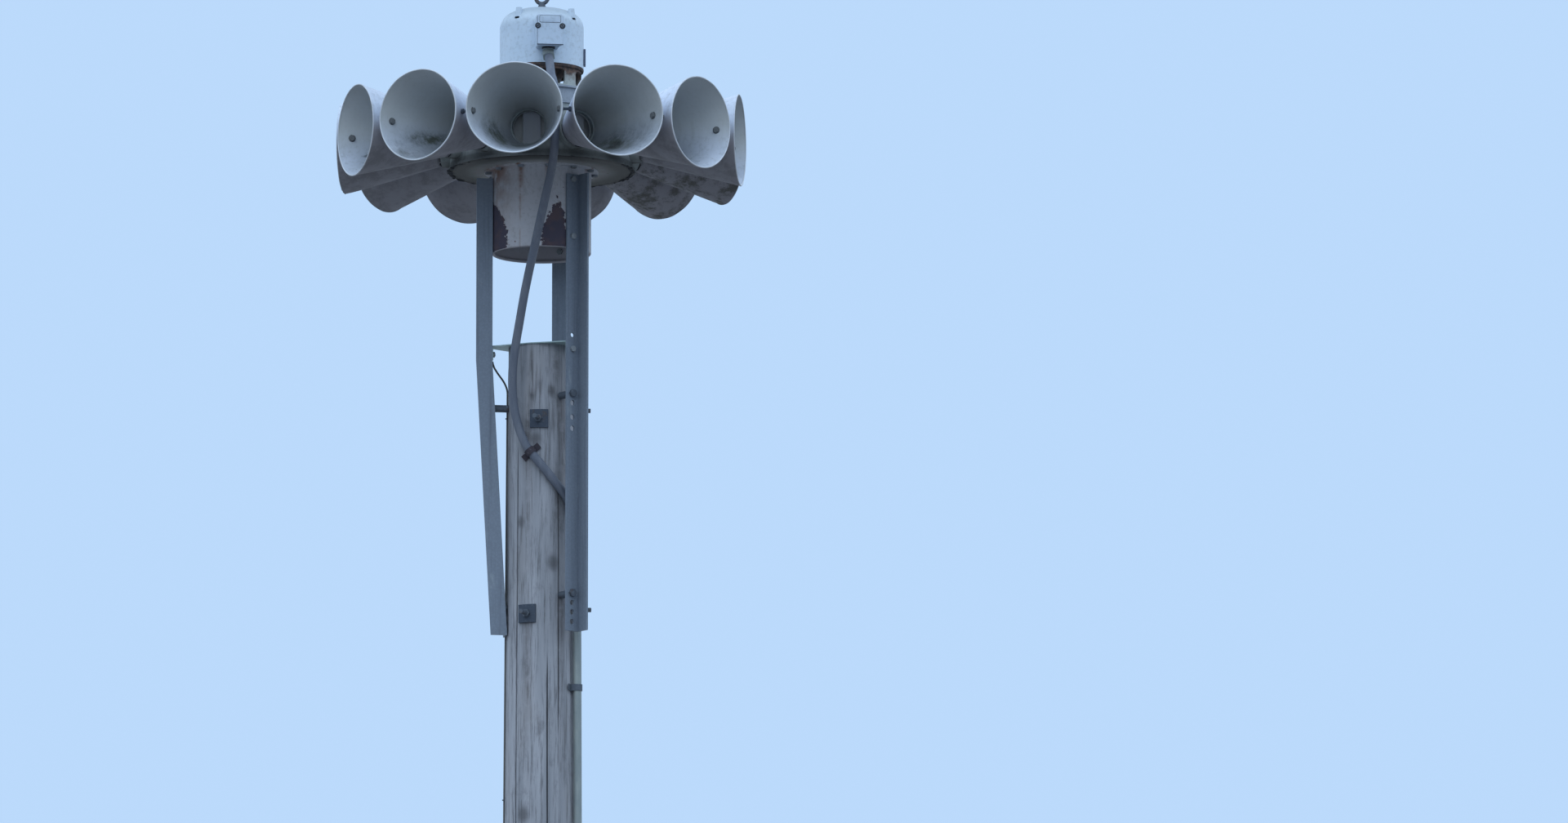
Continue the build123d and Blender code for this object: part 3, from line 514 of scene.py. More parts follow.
    def bump(self, height: object, distance: float, strength: float = 1.0) -> None:
        """Puts a bump over the ones before it.

        Args:
            height: Height pattern between 0 and 1.
            distance: Depth in metres between 0 and 1.
            strength: Share of the bump that shows.
        """
        made = self.node("ShaderNodeBump")
        made.inputs["Strength"].default_value = strength
        made.inputs["Distance"].default_value = distance
        self.feed(made.inputs["Height"], height)
        before = self.shader.inputs["Normal"]
        if before.is_linked:
            self.feed(made.inputs["Normal"], before.links[0].from_socket)
        self.feed(before, made.outputs["Normal"])

    def done(self, color: object, roughness: object = None) -> bpy.types.Material:
        """Finishes the material.

        Args:
            color: Base colour.
            roughness: Roughness, where it varies.

        Returns:
            The material.
        """
        self.feed(self.shader.inputs["Base Color"], color)
        if roughness is not None:
            self.feed(self.shader.inputs["Roughness"], roughness)
        return self.material


@dataclass(frozen=True)
class WeatheredPaint:
    """Old outdoor paint: cloudy tone, rain streaks, chips, and a film on tops and grime on undersides, both
    partly painted shade.
    """

    paint: Color
    shade: Color
    grime: Color = (0.07, 0.08, 0.08)
    soot_and_shade: Color = (0.13, 0.125, 0.12)
    soot_and_shade_from: float = -0.05
    soot_and_shade_fade: float = 0.55
    soot_spots: tuple[float, float] = (0.20, 0.62)
    top_film_and_shade_share: float = 0.0
    top_film_and_shade: Color = (0.30, 0.33, 0.33)
    chip: Color = (0.09, 0.05, 0.04)
    streaks: float = 0.35
    underside: float = 0.5
    chip_level: float = 0.70
    roughness: float = 0.7
    gloss: float = 0.12

    def coat(self, recipe: Recipe, open_side: object = 1.0) -> bpy.types.NodeSocket:
        """Colour of the coat before any dirt of its own place.

        Args:
            recipe: Material being built.
            open_side: Share of the underside's grime and painted shade, such as 0 inside a horn.

        Returns:
            Colour socket.
        """
        cloud = recipe.step(recipe.noise(5.0, 4.0), 0.36, 0.66)
        color = recipe.layer(self.paint, self.shade, cloud)
        fine = recipe.step(recipe.noise(90.0, 2.0), 0.45, 0.85)
        color = recipe.layer(color, self.grime, fine, 0.25)
        run = recipe.step(recipe.streaky(42.0, 2.4, 4.0, 0.6), 0.52, 0.80)
        color = recipe.layer(color, self.grime, run, self.streaks)
        # Painted shade, partly dust: a darker film on upward-facing surfaces.
        color = recipe.layer(color, self.top_film_and_shade, recipe.facing(0.35, 0.95), self.top_film_and_shade_share)
        # Painted shade, partly real grime: the soot colour darkens downward-facing surfaces, in spots.
        below = recipe.facing(self.soot_and_shade_from, self.soot_and_shade_from - self.soot_and_shade_fade)
        spots = recipe.step(recipe.noise(13.0, 6.0, 0.68), *self.soot_spots)
        color = recipe.layer(color, self.soot_and_shade, below, self.underside, open_side, spots)
        chips = recipe.step(recipe.noise(38.0, 6.0, 0.6), self.chip_level, self.chip_level + 0.02)
        return recipe.layer(color, self.chip, chips)

    def brush_marks(self, recipe: Recipe) -> None:
        """Bumps of the coat: a fine grain and slow waves."""
        recipe.bump(recipe.noise(240.0, 3.0), 0.00035, 0.5)
        recipe.bump(recipe.noise(14.0, 3.0), 0.0012, 0.4)

    def worn_gloss(self, recipe: Recipe) -> bpy.types.NodeSocket:
        """Roughness that varies around the coat's own."""
        return recipe.plus(self.roughness - 0.12, recipe.noise(24.0, 3.0), 0.3)

    def build(self, name: str) -> bpy.types.Material:
        """Makes the material.

        Args:
            name: Name of the material.

        Returns:
            The material.
        """
        recipe = Recipe(name, self.roughness, gloss=self.gloss)
        color = self.coat(recipe)
        self.brush_marks(recipe)
        return recipe.done(color, self.worn_gloss(recipe))


@dataclass(frozen=True)
class HornPaint(WeatheredPaint):
    """Horn paint: mould and dirt by the marks, mottled undersides, throat dust and a low film that are partly
    painted shade, and a painted highlight on the lip.
    """

    mould: Color = (0.050, 0.062, 0.036)
    dust: Color = (0.44, 0.44, 0.42)
    dry_side: Color = (0.515, 0.555, 0.56)
    dirt: Color = (0.055, 0.062, 0.066)
    blotch: Color = (0.085, 0.088, 0.080)
    film: Color = (0.13, 0.148, 0.165)
    low_film_and_shade_share: float = 0.60
    lip_highlight: Color = (0.66, 0.73, 0.80)
    dry_share: float = 0.75
    throat_dust_and_shade_share: float = 0.45
    mould_share: float = 0.86
    grey_share: float = 0.9
    smear_share: float = 0.75
    speck_share: float = 0.55
    joint_share: float = 0.8
    lip_highlight_share: float = 0.42

    def inner_wall(self, recipe: Recipe, color: object, ragged: object) -> bpy.types.NodeSocket:
        """Lays what gathers inside a horn over its coat.

        The upper side is dry and pale, the throat dusty and the lower side filmed; dust and film are partly
        painted shade. Mould and grey patches follow the marks growth and grey, and dirt the mark smear.

        Args:
            recipe: Material being built.
            color: Colour of the coat.
            ragged: Noise that breaks up the edges.

        Returns:
            Colour socket.
        """
        inside, along, low = recipe.mark("inside"), recipe.mark("along"), recipe.mark("low")
        color = recipe.layer(color, self.dry_side, inside, recipe.step(low, 0.6, -0.3), self.dry_share)
        # Partly dust, partly painted shade: a darker grey towards the deep throat.
        color = recipe.layer(color, self.dust, inside, recipe.step(along, 0.70, -0.05), self.throat_dust_and_shade_share)
        # Partly film, partly painted shade: the lower inner wall, which faces the light from above, is
        # darkened.
        lower_side = recipe.step(low, -0.2, 0.9)
        color = recipe.layer(color, self.film, inside, lower_side, recipe.step(along, 1.05, 0.55), self.low_film_and_shade_share)
        growth = recipe.product(recipe.mark("growth"), recipe.plus(0.35, ragged, 0.72))
        color = recipe.layer(color, self.mould, recipe.step(growth, 0.06, 0.86), self.mould_share)
        broken = recipe.plus(0.55, ragged, 0.45)
        color = recipe.layer(color, self.film, recipe.mark("grey"), broken, self.grey_share)
        smear = recipe.plus(recipe.mark("smear"), recipe.noise(60.0, 5.0, 0.7), 0.8)
        color = recipe.layer(color, self.dirt, recipe.step(smear, 0.80, 1.05), self.smear_share)
        specks = recipe.step(recipe.noise(85.0, 4.0, 0.7), 0.60, 0.68)
        return recipe.layer(color, self.dirt, inside, recipe.step(low, 0.45, 0.95), specks, self.speck_share)

    def build(self, name: str) -> bpy.types.Material:
        """Makes the material.

        Args:
            name: Name of the material.

        Returns:
            Material that reads the marks inside, along, low, lip, growth, grey, smear and
            mottled.
        """
        recipe = Recipe(name, self.roughness, gloss=self.gloss)
        low = recipe.mark("low")
        outside = recipe.math("SUBTRACT", 1.0, recipe.mark("inside"))
        ragged = recipe.step(recipe.noise(30.0, 8.0, 0.72), 0.30, 0.68)
        color = self.inner_wall(recipe, self.coat(recipe, outside), ragged)
        blotch = recipe.step(recipe.noise(17.0, 7.0, 0.74), 0.44, 0.62)
        under = recipe.step(low, 0.0, 0.7)
        color = recipe.layer(color, self.blotch, outside, under, blotch, recipe.mark("mottled"))
        joint = recipe.step(recipe.mark("along"), 0.045, 0.005)
        patchy = recipe.step(ragged, 0.1, 0.5)
        color = recipe.layer(color, self.dirt, outside, joint, patchy, self.joint_share)
        # Painted highlight: a paler colour on the lower part of the rolled lip.
        lower_lip = recipe.step(low, -0.3, 0.8)
        color = recipe.layer(color, self.lip_highlight, recipe.mark("lip"), lower_lip, self.lip_highlight_share)
        recipe.bump(recipe.noise(240.0, 3.0), 0.0003, 0.5)
        recipe.bump(recipe.noise(9.0, 2.0), 0.0020, 0.35)
        return recipe.done(color, self.worn_gloss(recipe))


@dataclass(frozen=True)
class DrumPaint(WeatheredPaint):
    """Drum paint that peels off dark steel where the mark peel is high, with rust runs."""

    lining: Color = (0.46, 0.45, 0.50)
    bare: Color = (0.070, 0.066, 0.098)
    bare_rust: Color = (0.100, 0.078, 0.095)
    primer: Color = (0.30, 0.20, 0.18)
    rust: Color = (0.25, 0.165, 0.145)

    def build(self, name: str) -> bpy.types.Material:
        """Makes the material.

        Args:
            name: Name of the material.

        Returns:
            Material that reads the marks inside, peel and rust.
        """
        recipe = Recipe(name, self.roughness, gloss=self.gloss)
        stained = recipe.step(recipe.noise(9.0, 5.0, 0.65), 0.15, 0.55)
        color = recipe.layer(self.coat(recipe), self.lining, recipe.mark("inside"), stained, 0.85)
        run = recipe.step(recipe.noise(30.0, 5.0), 0.30, 0.62)
        color = recipe.layer(color, self.rust, recipe.mark("rust"), run)
        ragged = recipe.math("SUBTRACT", recipe.noise(62.0, 8.0, 0.72), 0.47)
        loose = recipe.plus(recipe.mark("peel"), ragged, 1.9)
        gone = recipe.step(loose, 0.0, 0.035)
        steel = recipe.layer(self.bare, self.bare_rust, recipe.step(recipe.noise(25.0, 5.0), 0.4, 0.7))
        color = recipe.layer(color, self.primer, recipe.step(loose, -0.06, 0.0), 0.55)
        color = recipe.layer(color, steel, gone)
        recipe.bump(recipe.math("SUBTRACT", 1.0, gone), 0.0008)
        recipe.bump(recipe.noise(200.0, 3.0), 0.0003, 0.6)
        return recipe.done(color)


@dataclass(frozen=True)
class HousingPaint(WeatheredPaint):
    """Paint of base plate and stator: painted light in the ports, and undersides darker towards the rim,
    partly grime and partly painted shade.
    """

    rim_darkening: Color = (0.045, 0.047, 0.047)
    seam: Color = (0.018, 0.018, 0.02)
    rim_dark_from: float = 0.170
    rim_dark_to: float = 0.255
    joint_radius: float = 0.272
    seam_from: float = 0.294
    seam_to: float = 0.304
    port_foot: float = 10.944
    port_top: float = 11.067
    port_reach: float = 0.2842
    port_painted_light: Color = (0.70, 0.72, 0.72)
    skirt_rise: float = 0.014
    edge: float = 0.002
    rim_share: float = 0.92
    skirt_share: float = 0.40
    seam_share: float = 0.75

    def build(self, name: str) -> bpy.types.Material:
        """Makes the material.

        Args:
            name: Name of the material.

        Returns:
            Material that reads the height and the distance to the axis.
        """
        recipe = Recipe(name, self.roughness, gloss=self.gloss)
        height, radius = recipe.height(), recipe.from_axis()
        under = recipe.step(height, self.port_foot, self.port_foot - 2.0 * self.edge)
        color = self.coat(recipe, under)
        above_foot = recipe.step(height, self.port_foot, self.port_foot + self.edge)
        below_top = recipe.step(height, self.port_top, self.port_top - self.edge)
        inner = recipe.step(radius, self.port_reach, self.port_reach - self.edge / 2.0)
        # Painted light: a pale colour on the port bores, which lie in shade.
        color = recipe.layer(color, self.port_painted_light, above_foot, below_top, inner)
        # Partly grime, partly painted light: undersides darken towards the rim and stay pale near the drum,
        # where its shadow falls.
        below = recipe.product(recipe.facing(0.10, -0.25), under)
        rim = recipe.step(radius, self.rim_dark_from, self.rim_dark_to)
        color = recipe.layer(color, self.rim_darkening, below, rim, self.rim_share)
        # Darker low on the outer wall, near the port foot.
        skirt = recipe.step(height, self.port_foot + self.skirt_rise, self.port_foot - self.edge)
        wall = recipe.step(radius, self.rim_dark_to, self.joint_radius)
        color = recipe.layer(color, self.rim_darkening, skirt, wall, self.skirt_share)
        ragged = recipe.plus(radius, recipe.noise(45.0, 7.0, 0.7), 0.05)
        joint = recipe.step(ragged, self.seam_from, self.seam_to)
        color = recipe.layer(color, self.seam, joint, below, self.seam_share)
        self.brush_marks(recipe)
        return recipe.done(color)


@dataclass(frozen=True)
class PedestalPaint(WeatheredPaint):
    """Paint of the motor's pedestal, eaten by dark rust from its top edge down."""

    rust_foot: float = 11.206
    rust_top: float = 11.226
    stain_drop: float = 0.022
    ragged: float = 0.034
    scale: Color = (0.060, 0.050, 0.050)
    rust: Color = (0.135, 0.090, 0.075)

    def build(self, name: str) -> bpy.types.Material:
        """Makes the material: rust where the height plus a ragged part passes a level.

        Args:
            name: Name of the material.

        Returns:
            The material.
        """
        recipe = Recipe(name, self.roughness, gloss=self.gloss)
        uneven = recipe.math("SUBTRACT", recipe.noise(42.0, 6.0, 0.68), 0.5)
        level = recipe.plus(recipe.height(), uneven, 2.0 * self.ragged)
        eaten = recipe.step(level, self.rust_foot, self.rust_top)
        stain = recipe.step(level, self.rust_foot - self.stain_drop, self.rust_foot)
        color = recipe.layer(self.coat(recipe), self.rust, stain, 0.45)
        tone = recipe.layer(self.scale, self.rust, recipe.step(recipe.noise(75.0, 5.0, 0.65), 0.40, 0.64))
        color = recipe.layer(color, tone, eaten)
        recipe.bump(recipe.noise(150.0, 5.0, 0.7), 0.0008, 0.8)
        recipe.bump(eaten, 0.0006, 0.6)
        return recipe.done(color)


@dataclass(frozen=True)
class RotorCasting:
    """Bare aluminium rotor: dull grey inside, with a dark film on the outer face."""

    metal: Color = (0.52, 0.55, 0.58)
    metal_shade: Color = (0.42, 0.44, 0.46)
    film: Color = (0.40, 0.43, 0.50)
    film_shade: Color = (0.44, 0.45, 0.46)
    film_radius: float = 0.262
    film_edge: float = 0.004
    roughness: float = 0.55

    def build(self, name: str) -> bpy.types.Material:
        """Makes the material.

        Args:
            name: Name of the material.

        Returns:
            Material that reads the distance to the axis.
        """
        recipe = Recipe(name, self.roughness, gloss=0.2)
        outer = recipe.step(recipe.from_axis(), self.film_radius - self.film_edge, self.film_radius)
        cloud = recipe.step(recipe.noise(14.0, 5.0, 0.6), 0.25, 0.75)
        metal = recipe.layer(self.metal, self.metal_shade, cloud, 0.3)
        film = recipe.layer(self.film, self.film_shade, cloud, 0.5)
        recipe.bump(recipe.noise(160.0, 4.0), 0.0004, 0.5)
        return recipe.done(recipe.layer(metal, film, outer))


@dataclass(frozen=True)
class ZincCoat:
    """Dull hot-dip zinc on structural steel: spangle, grey streaks and a little rust."""

    zinc: Color = (0.18, 0.22, 0.28)
    dark: Color = (0.115, 0.14, 0.185)
    white_rust: Color = (0.30, 0.35, 0.39)
    rust: Color = (0.15, 0.075, 0.045)
    roughness: float = 0.55

    def build(self, name: str) -> bpy.types.Material:
        """Makes the material.

        Args:
            name: Name of the material.

        Returns:
            The material.
        """
        recipe = Recipe(name, self.roughness, metallic=0.35)
        spangle = recipe.step(recipe.cells(130.0), 0.15, 0.75)
        color = recipe.layer(self.zinc, self.dark, spangle, 0.25)
        color = recipe.layer(color, self.dark, recipe.step(recipe.streaky(70.0, 2.2, 5.0, 0.62), 0.50, 0.78))
        bloom = recipe.step(recipe.streaky(22.0, 6.0, 5.0, 0.7), 0.56, 0.76)
        color = recipe.layer(color, self.white_rust, bloom, 0.55)
        spots = recipe.step(recipe.noise(48.0, 6.0, 0.7), 0.68, 0.73)
        color = recipe.layer(color, self.rust, spots, 0.8)
        recipe.bump(recipe.noise(160.0, 4.0), 0.0004, 0.7)
        recipe.bump(recipe.noise(18.0, 3.0), 0.0008, 0.4)
        return recipe.done(color, recipe.plus(self.roughness - 0.15, recipe.noise(40.0, 4.0), 0.3))


@dataclass(frozen=True)
class RoughIron:
    """Rusty or tarnished iron: two rust tones over dark scale, with a pitted surface."""

    scale: Color
    rust: Color
    bright: Color
    share: float = 0.5
    roughness: float = 0.8
    metallic: float = 0.2

    def build(self, name: str) -> bpy.types.Material:
        """Makes the material.

        Args:
            name: Name of the material.

        Returns:
            The material.
        """
        recipe = Recipe(name, self.roughness, self.metallic, gloss=0.2)
        level = 0.3 * self.share
        patches = recipe.step(recipe.noise(34.0, 6.0, 0.65), 0.66 - level, 0.80 - level)
        color = recipe.layer(self.scale, self.rust, patches)
        flecks = recipe.step(recipe.noise(120.0, 4.0, 0.6), 0.56, 0.74)
        color = recipe.layer(color, self.bright, flecks, 0.6)
        recipe.bump(recipe.noise(150.0, 5.0, 0.7), 0.0008, 0.9)
        recipe.bump(patches, 0.0005, 0.6)
        return recipe.done(color)


@dataclass(frozen=True)
class SilverWood:
    """Weathered pole wood: long grey grain, dark checks, knots and stains under the bolts."""

    pale: Color = (0.355, 0.385, 0.45)
    mid: Color = (0.22, 0.245, 0.29)
    dark: Color = (0.085, 0.09, 0.105)
    warm: Color = (0.27, 0.245, 0.23)
    stain: Color = (0.075, 0.072, 0.080)
    depth: Color = (0.022, 0.022, 0.025)
    roughness: float = 0.86

    def build(self, name: str) -> bpy.types.Material:
        """Makes the material.

        Args:
            name: Name of the material.

        Returns:
            Material that reads the marks crack, knot and stain.
        """
        recipe = Recipe(name, self.roughness, gloss=0.2)
        broad = recipe.step(recipe.streaky(16.0, 0.9, 5.0, 0.6), 0.34, 0.68)
        color = recipe.layer(self.pale, self.mid, broad)
        grain = recipe.streaky(130.0, 7.0, 6.0, 0.7)
        color = recipe.layer(color, self.dark, recipe.step(grain, 0.47, 0.70), 0.75)
        tinge = recipe.step(recipe.streaky(9.0, 2.0, 3.0, 0.5), 0.50, 0.75)
        color = recipe.layer(color, self.warm, tinge, 0.22)
        smudge = recipe.step(recipe.streaky(26.0, 12.0, 5.0, 0.66), 0.54, 0.74)
        color = recipe.layer(color, self.dark, smudge, 0.40)
        blotch = recipe.step(recipe.noise(38.0, 5.0, 0.66), 0.25, 0.60)
        color = recipe.layer(color, self.stain, recipe.mark("stain"), recipe.plus(0.35, blotch, 0.65), 0.72)
        color = recipe.layer(color, self.dark, recipe.mark("knot"), 0.8)
        color = recipe.layer(color, self.depth, recipe.mark("crack"))
        recipe.bump(grain, 0.0022, 0.8)
        recipe.bump(recipe.streaky(420.0, 14.0, 4.0, 0.6), 0.0008, 0.6)
        return recipe.done(color)


@dataclass(frozen=True)
class CableJacket:
    """Smooth sheathing or dull cast metal, with dust and scuffs."""

    body: Color
    dust: Color
    roughness: float = 0.5
    metallic: float = 0.0
    scuff: float = 0.35

    def build(self, name: str) -> bpy.types.Material:
        """Makes the material.

        Args:
            name: Name of the material.

        Returns:
            The material.
        """
        recipe = Recipe(name, self.roughness, self.metallic)
        film = recipe.step(recipe.streaky(40.0, 9.0, 5.0, 0.6), 0.38, 0.70)
        color = recipe.layer(self.body, self.dust, film, 0.7)
        scuffs = recipe.step(recipe.noise(110.0, 5.0, 0.7), 0.62, 0.70)
        color = recipe.layer(color, tuple(self.scuff * part for part in self.body), scuffs, 0.5)
        recipe.bump(recipe.noise(180.0, 3.0), 0.0004, 0.5)
        return recipe.done(color)


class Finish(Enum):
    """The part's finishes: those of the record's material slots, by slot, and some pieces' own."""

    POLE_WOOD = "pole_wood"
    GALVANIZED_STEEL = "galvanized_steel"
    BOLT_STEEL = "bolt_steel"
    DRUM_PAINT = "drum_paint"
    HOUSING_PAINT = "housing_paint"
    RUSTY_IRON = "rusty_iron"
    MOTOR_PAINT = "motor_paint"
    HORN_PAINT = "horn_paint"
    FITTING_METAL = "fitting_metal"
    CONDUIT_JACKET = "conduit_jacket"
    WIRE_COPPER = "wire_copper"
    DIRT_AND_SHADE = "dirt_and_shade"
    PLATE_PAINT = "plate_paint"
    PEDESTAL_PAINT = "pedestal_paint"
    ROTOR_CASTING = "rotor_casting"
    DARK_CAST = "dark_cast"
    CAP_ZINC = "cap_zinc"
    DARK_STEEL = "dark_steel"
    COVER_PAINT_SHADED = "cover_paint_shaded"
    HIGHLIGHTED_BOLT = "highlighted_bolt"
    STRAP_IRON = "strap_iron"
    LINK_HEAD = "link_head"


# CAD nodes that don't wear the finish of their material slot.
NODE_FINISHES = {
    "base_plate": Finish.PLATE_PAINT,
    "stator_ring": Finish.PLATE_PAINT,
    "motor_pedestal": Finish.PEDESTAL_PAINT,
    "chopper_rotor": Finish.ROTOR_CASTING,
    "motor_side_cover": Finish.DARK_CAST,
    "pole_cap_plate": Finish.CAP_ZINC,
    "square_washers": Finish.DARK_STEEL,
    # Painted shade: the terminal box cover wears a darker copy of the motor's paint.
    "terminal_box_cover": Finish.COVER_PAINT_SHADED,
    # Painted light: the shaft housing wears the pale pedestal paint, so the pedestal's windows show light
    # instead of shade.
    "shaft_housing": Finish.PEDESTAL_PAINT,
    # Painted highlight: the leg bolts are paler than the other bolts.
    "leg_bolts": Finish.HIGHLIGHTED_BOLT,
    "conduit_strap": Finish.STRAP_IRON,
}

# What makes each finish.
RECIPES = {
    Finish.POLE_WOOD: SilverWood(),
    Finish.GALVANIZED_STEEL: ZincCoat(),
    Finish.BOLT_STEEL: RoughIron(
        scale=(0.10, 0.12, 0.15), rust=(0.11, 0.085, 0.08), bright=(0.26, 0.29, 0.33),
        share=0.35, roughness=0.6, metallic=0.5,
    ),
    Finish.DRUM_PAINT: DrumPaint((0.55, 0.58, 0.65), (0.47, 0.50, 0.57), streaks=0.24, underside=0.2),
    Finish.HOUSING_PAINT: WeatheredPaint(
        (0.265, 0.31, 0.385), (0.21, 0.245, 0.28), streaks=0.5, underside=0.95, top_film_and_shade_share=0.6
    ),
    Finish.PLATE_PAINT: HousingPaint(
        (0.36, 0.41, 0.44), (0.27, 0.31, 0.32), streaks=0.5, underside=0.95,
        soot_and_shade=(0.27, 0.265, 0.27), soot_and_shade_from=0.1,
    ),
    Finish.PEDESTAL_PAINT: PedestalPaint(
        (0.36, 0.42, 0.44), (0.28, 0.33, 0.33), streaks=0.5, top_film_and_shade_share=0.5
    ),
    Finish.ROTOR_CASTING: RotorCasting(),
    Finish.CAP_ZINC: ZincCoat(
        zinc=(0.32, 0.44, 0.46), dark=(0.23, 0.30, 0.32), white_rust=(0.45, 0.54, 0.52)
    ),
    Finish.LINK_HEAD: RoughIron(
        scale=(0.135, 0.15, 0.165), rust=(0.12, 0.11, 0.11), bright=(0.24, 0.26, 0.28),
        share=0.3, roughness=0.7, metallic=0.1,
    ),
    Finish.STRAP_IRON: RoughIron(
        scale=(0.050, 0.047, 0.062), rust=(0.080, 0.052, 0.055), bright=(0.12, 0.11, 0.13), share=0.45
    ),
    # Painted highlight: pale bolt steel for the leg bolts.
    Finish.HIGHLIGHTED_BOLT: RoughIron(
        scale=(0.25, 0.28, 0.31), rust=(0.17, 0.165, 0.165), bright=(0.46, 0.49, 0.50),
        share=0.25, roughness=0.5, metallic=0.4,
    ),
    Finish.DARK_STEEL: RoughIron(
        scale=(0.060, 0.076, 0.105), rust=(0.075, 0.072, 0.080), bright=(0.13, 0.15, 0.18),
        share=0.3, roughness=0.6, metallic=0.4,
    ),
    # Painted shade: a darker copy of the motor's paint, for the terminal box cover.
    Finish.COVER_PAINT_SHADED: WeatheredPaint(
        (0.42, 0.52, 0.65), (0.38, 0.48, 0.61), streaks=0.14, roughness=0.5, gloss=0.35, chip_level=0.76
    ),
    Finish.DARK_CAST: CableJacket((0.055, 0.07, 0.12), (0.09, 0.11, 0.17), metallic=0.2),
    Finish.RUSTY_IRON: RoughIron(
        scale=(0.060, 0.048, 0.048), rust=(0.125, 0.080, 0.065), bright=(0.24, 0.185, 0.17), share=0.6
    ),
    # The motor's top film is a darker copy of its paint: painted shade that tones down the light on its
    # upward faces.
    Finish.MOTOR_PAINT: WeatheredPaint(
        (0.48, 0.59, 0.72), (0.43, 0.54, 0.67), streaks=0.12, roughness=0.5,
        gloss=0.35, chip_level=0.76, top_film_and_shade_share=0.95, top_film_and_shade=(0.27, 0.34, 0.42),
    ),
    Finish.HORN_PAINT: HornPaint(
        (0.55, 0.63, 0.77), (0.44, 0.51, 0.63), streaks=0.30, underside=0.90,
        soot_and_shade=(0.285, 0.282, 0.320), soot_and_shade_from=0.25, soot_spots=(0.0, 0.42), chip_level=0.76,
    ),
    Finish.FITTING_METAL: CableJacket((0.22, 0.26, 0.27), (0.33, 0.37, 0.36), metallic=0.4),
    Finish.CONDUIT_JACKET: CableJacket((0.085, 0.105, 0.15), (0.135, 0.155, 0.20)),
    Finish.WIRE_COPPER: CableJacket((0.10, 0.10, 0.10), (0.16, 0.17, 0.17), roughness=0.6, metallic=0.3),
    # Real grime on the sealant, and painted shade on the vent pieces, screw slots and lock ring.
    Finish.DIRT_AND_SHADE: RoughIron(
        scale=(0.028, 0.032, 0.040), rust=(0.05, 0.045, 0.04), bright=(0.11, 0.12, 0.12),
        share=0.3, roughness=0.9, metallic=0.0,
    ),
}


@dataclass
class Studio:
    """Pale floor and soft light. The backdrop's colour is for camera and mirror rays only."""

    backdrop: Color = (0.50, 0.70, 0.97)
    sky: Color = (0.76, 0.88, 1.0)
    sky_strength: float = 1.40
    ground_strength: float = 0.12
    horizon_rise: tuple[float, float] = (-0.06, 0.26)
    floor_color: Color = (0.46, 0.47, 0.48)
    floor_bounce: Color = (0.16, 0.155, 0.155)
    floor_reach: float = 400.0
    key_color: Color = (0.86, 0.94, 1.0)
    key_strength: float = 0.7
    key_spread: float = 70.0
    key_azimuth: float = -8.0
    key_elevation: float = 58.0

    def mirror_rays(self, tree: bpy.types.NodeTree) -> bpy.types.NodeSocket:
        """One for camera, glossy and transmission rays, and 0 for the rays that light things.

        Args:
            tree: Node tree of the world or a material.

        Returns:
            Value socket.
        """
        rays = tree.nodes.new("ShaderNodeLightPath")
        either = rays.outputs["Is Camera Ray"]
        for kind in ("Is Glossy Ray", "Is Transmission Ray"):
            larger = tree.nodes.new("ShaderNodeMath")
            larger.operation = "MAXIMUM"
            tree.links.new(either, larger.inputs[0])
            tree.links.new(rays.outputs[kind], larger.inputs[1])
            either = larger.outputs[0]
        return either

    def build_world(self) -> None:
        """Soft dome, brighter above than below, behind a plain pale backdrop."""
        world = bpy.data.worlds.new("dome")
        world.use_nodes = True
        bpy.context.scene.world = world
        tree = world.node_tree
        tree.nodes.clear()
        place = tree.nodes.new("ShaderNodeTexCoord")
        split = tree.nodes.new("ShaderNodeSeparateXYZ")
        tree.links.new(place.outputs["Generated"], split.inputs[0])
        rise = tree.nodes.new("ShaderNodeMapRange")
        rise.interpolation_type = "SMOOTHSTEP"
        rise.inputs["From Min"].default_value, rise.inputs["From Max"].default_value = self.horizon_rise
        rise.inputs["To Min"].default_value = self.ground_strength
        rise.inputs["To Max"].default_value = self.sky_strength
        tree.links.new(split.outputs["Z"], rise.inputs["Value"])
        dome = tree.nodes.new("ShaderNodeBackground")
        dome.inputs["Color"].default_value = (*self.sky, 1.0)
        tree.links.new(rise.outputs["Result"], dome.inputs["Strength"])
        plain = tree.nodes.new("ShaderNodeBackground")
        plain.inputs["Color"].default_value = (*self.backdrop, 1.0)
        choose = tree.nodes.new("ShaderNodeMixShader")
        tree.links.new(self.mirror_rays(tree), choose.inputs[0])
        tree.links.new(dome.outputs[0], choose.inputs[1])
        tree.links.new(plain.outputs[0], choose.inputs[2])
        output = tree.nodes.new("ShaderNodeOutputWorld")
        tree.links.new(choose.outputs[0], output.inputs["Surface"])

    def build_floor(self) -> None:
        """Plain pale floor, darker to the rays that light the part from below."""
        reach = self.floor_reach
        corners = [(-reach, -reach, 0.0), (reach, -reach, 0.0), (reach, reach, 0.0), (-reach, reach, 0.0)]
        mesh = bpy.data.meshes.new("floor")
        mesh.from_pydata(corners, [], [(0, 1, 2, 3)])
        floor = bpy.data.objects.new("floor", mesh)
        bpy.context.scene.collection.objects.link(floor)
        recipe = Recipe("floor_pale", 0.9)
        seen = self.mirror_rays(recipe.tree)
        mesh.materials.append(recipe.done(recipe.layer(self.floor_bounce, self.floor_color, seen)))

    def build_key(self) -> None:
        """One broad key light from the upper left front."""
        lamp = bpy.data.lights.new("key", "SUN")
        lamp.energy = self.key_strength
        lamp.angle = math.radians(self.key_spread)
        lamp.color = self.key_color
        key = bpy.data.objects.new("key", lamp)
        bpy.context.scene.collection.objects.link(key)
        rise = math.radians(self.key_elevation)
        source = outward(self.key_azimuth) * math.cos(rise) + UP * math.sin(rise)
        key.rotation_euler = Vector(-source).to_track_quat("-Z", "Y").to_euler()

    def build(self) -> None:
        """Makes the world, the floor and the lamp."""
        self.build_world()
        self.build_floor()
        self.build_key()


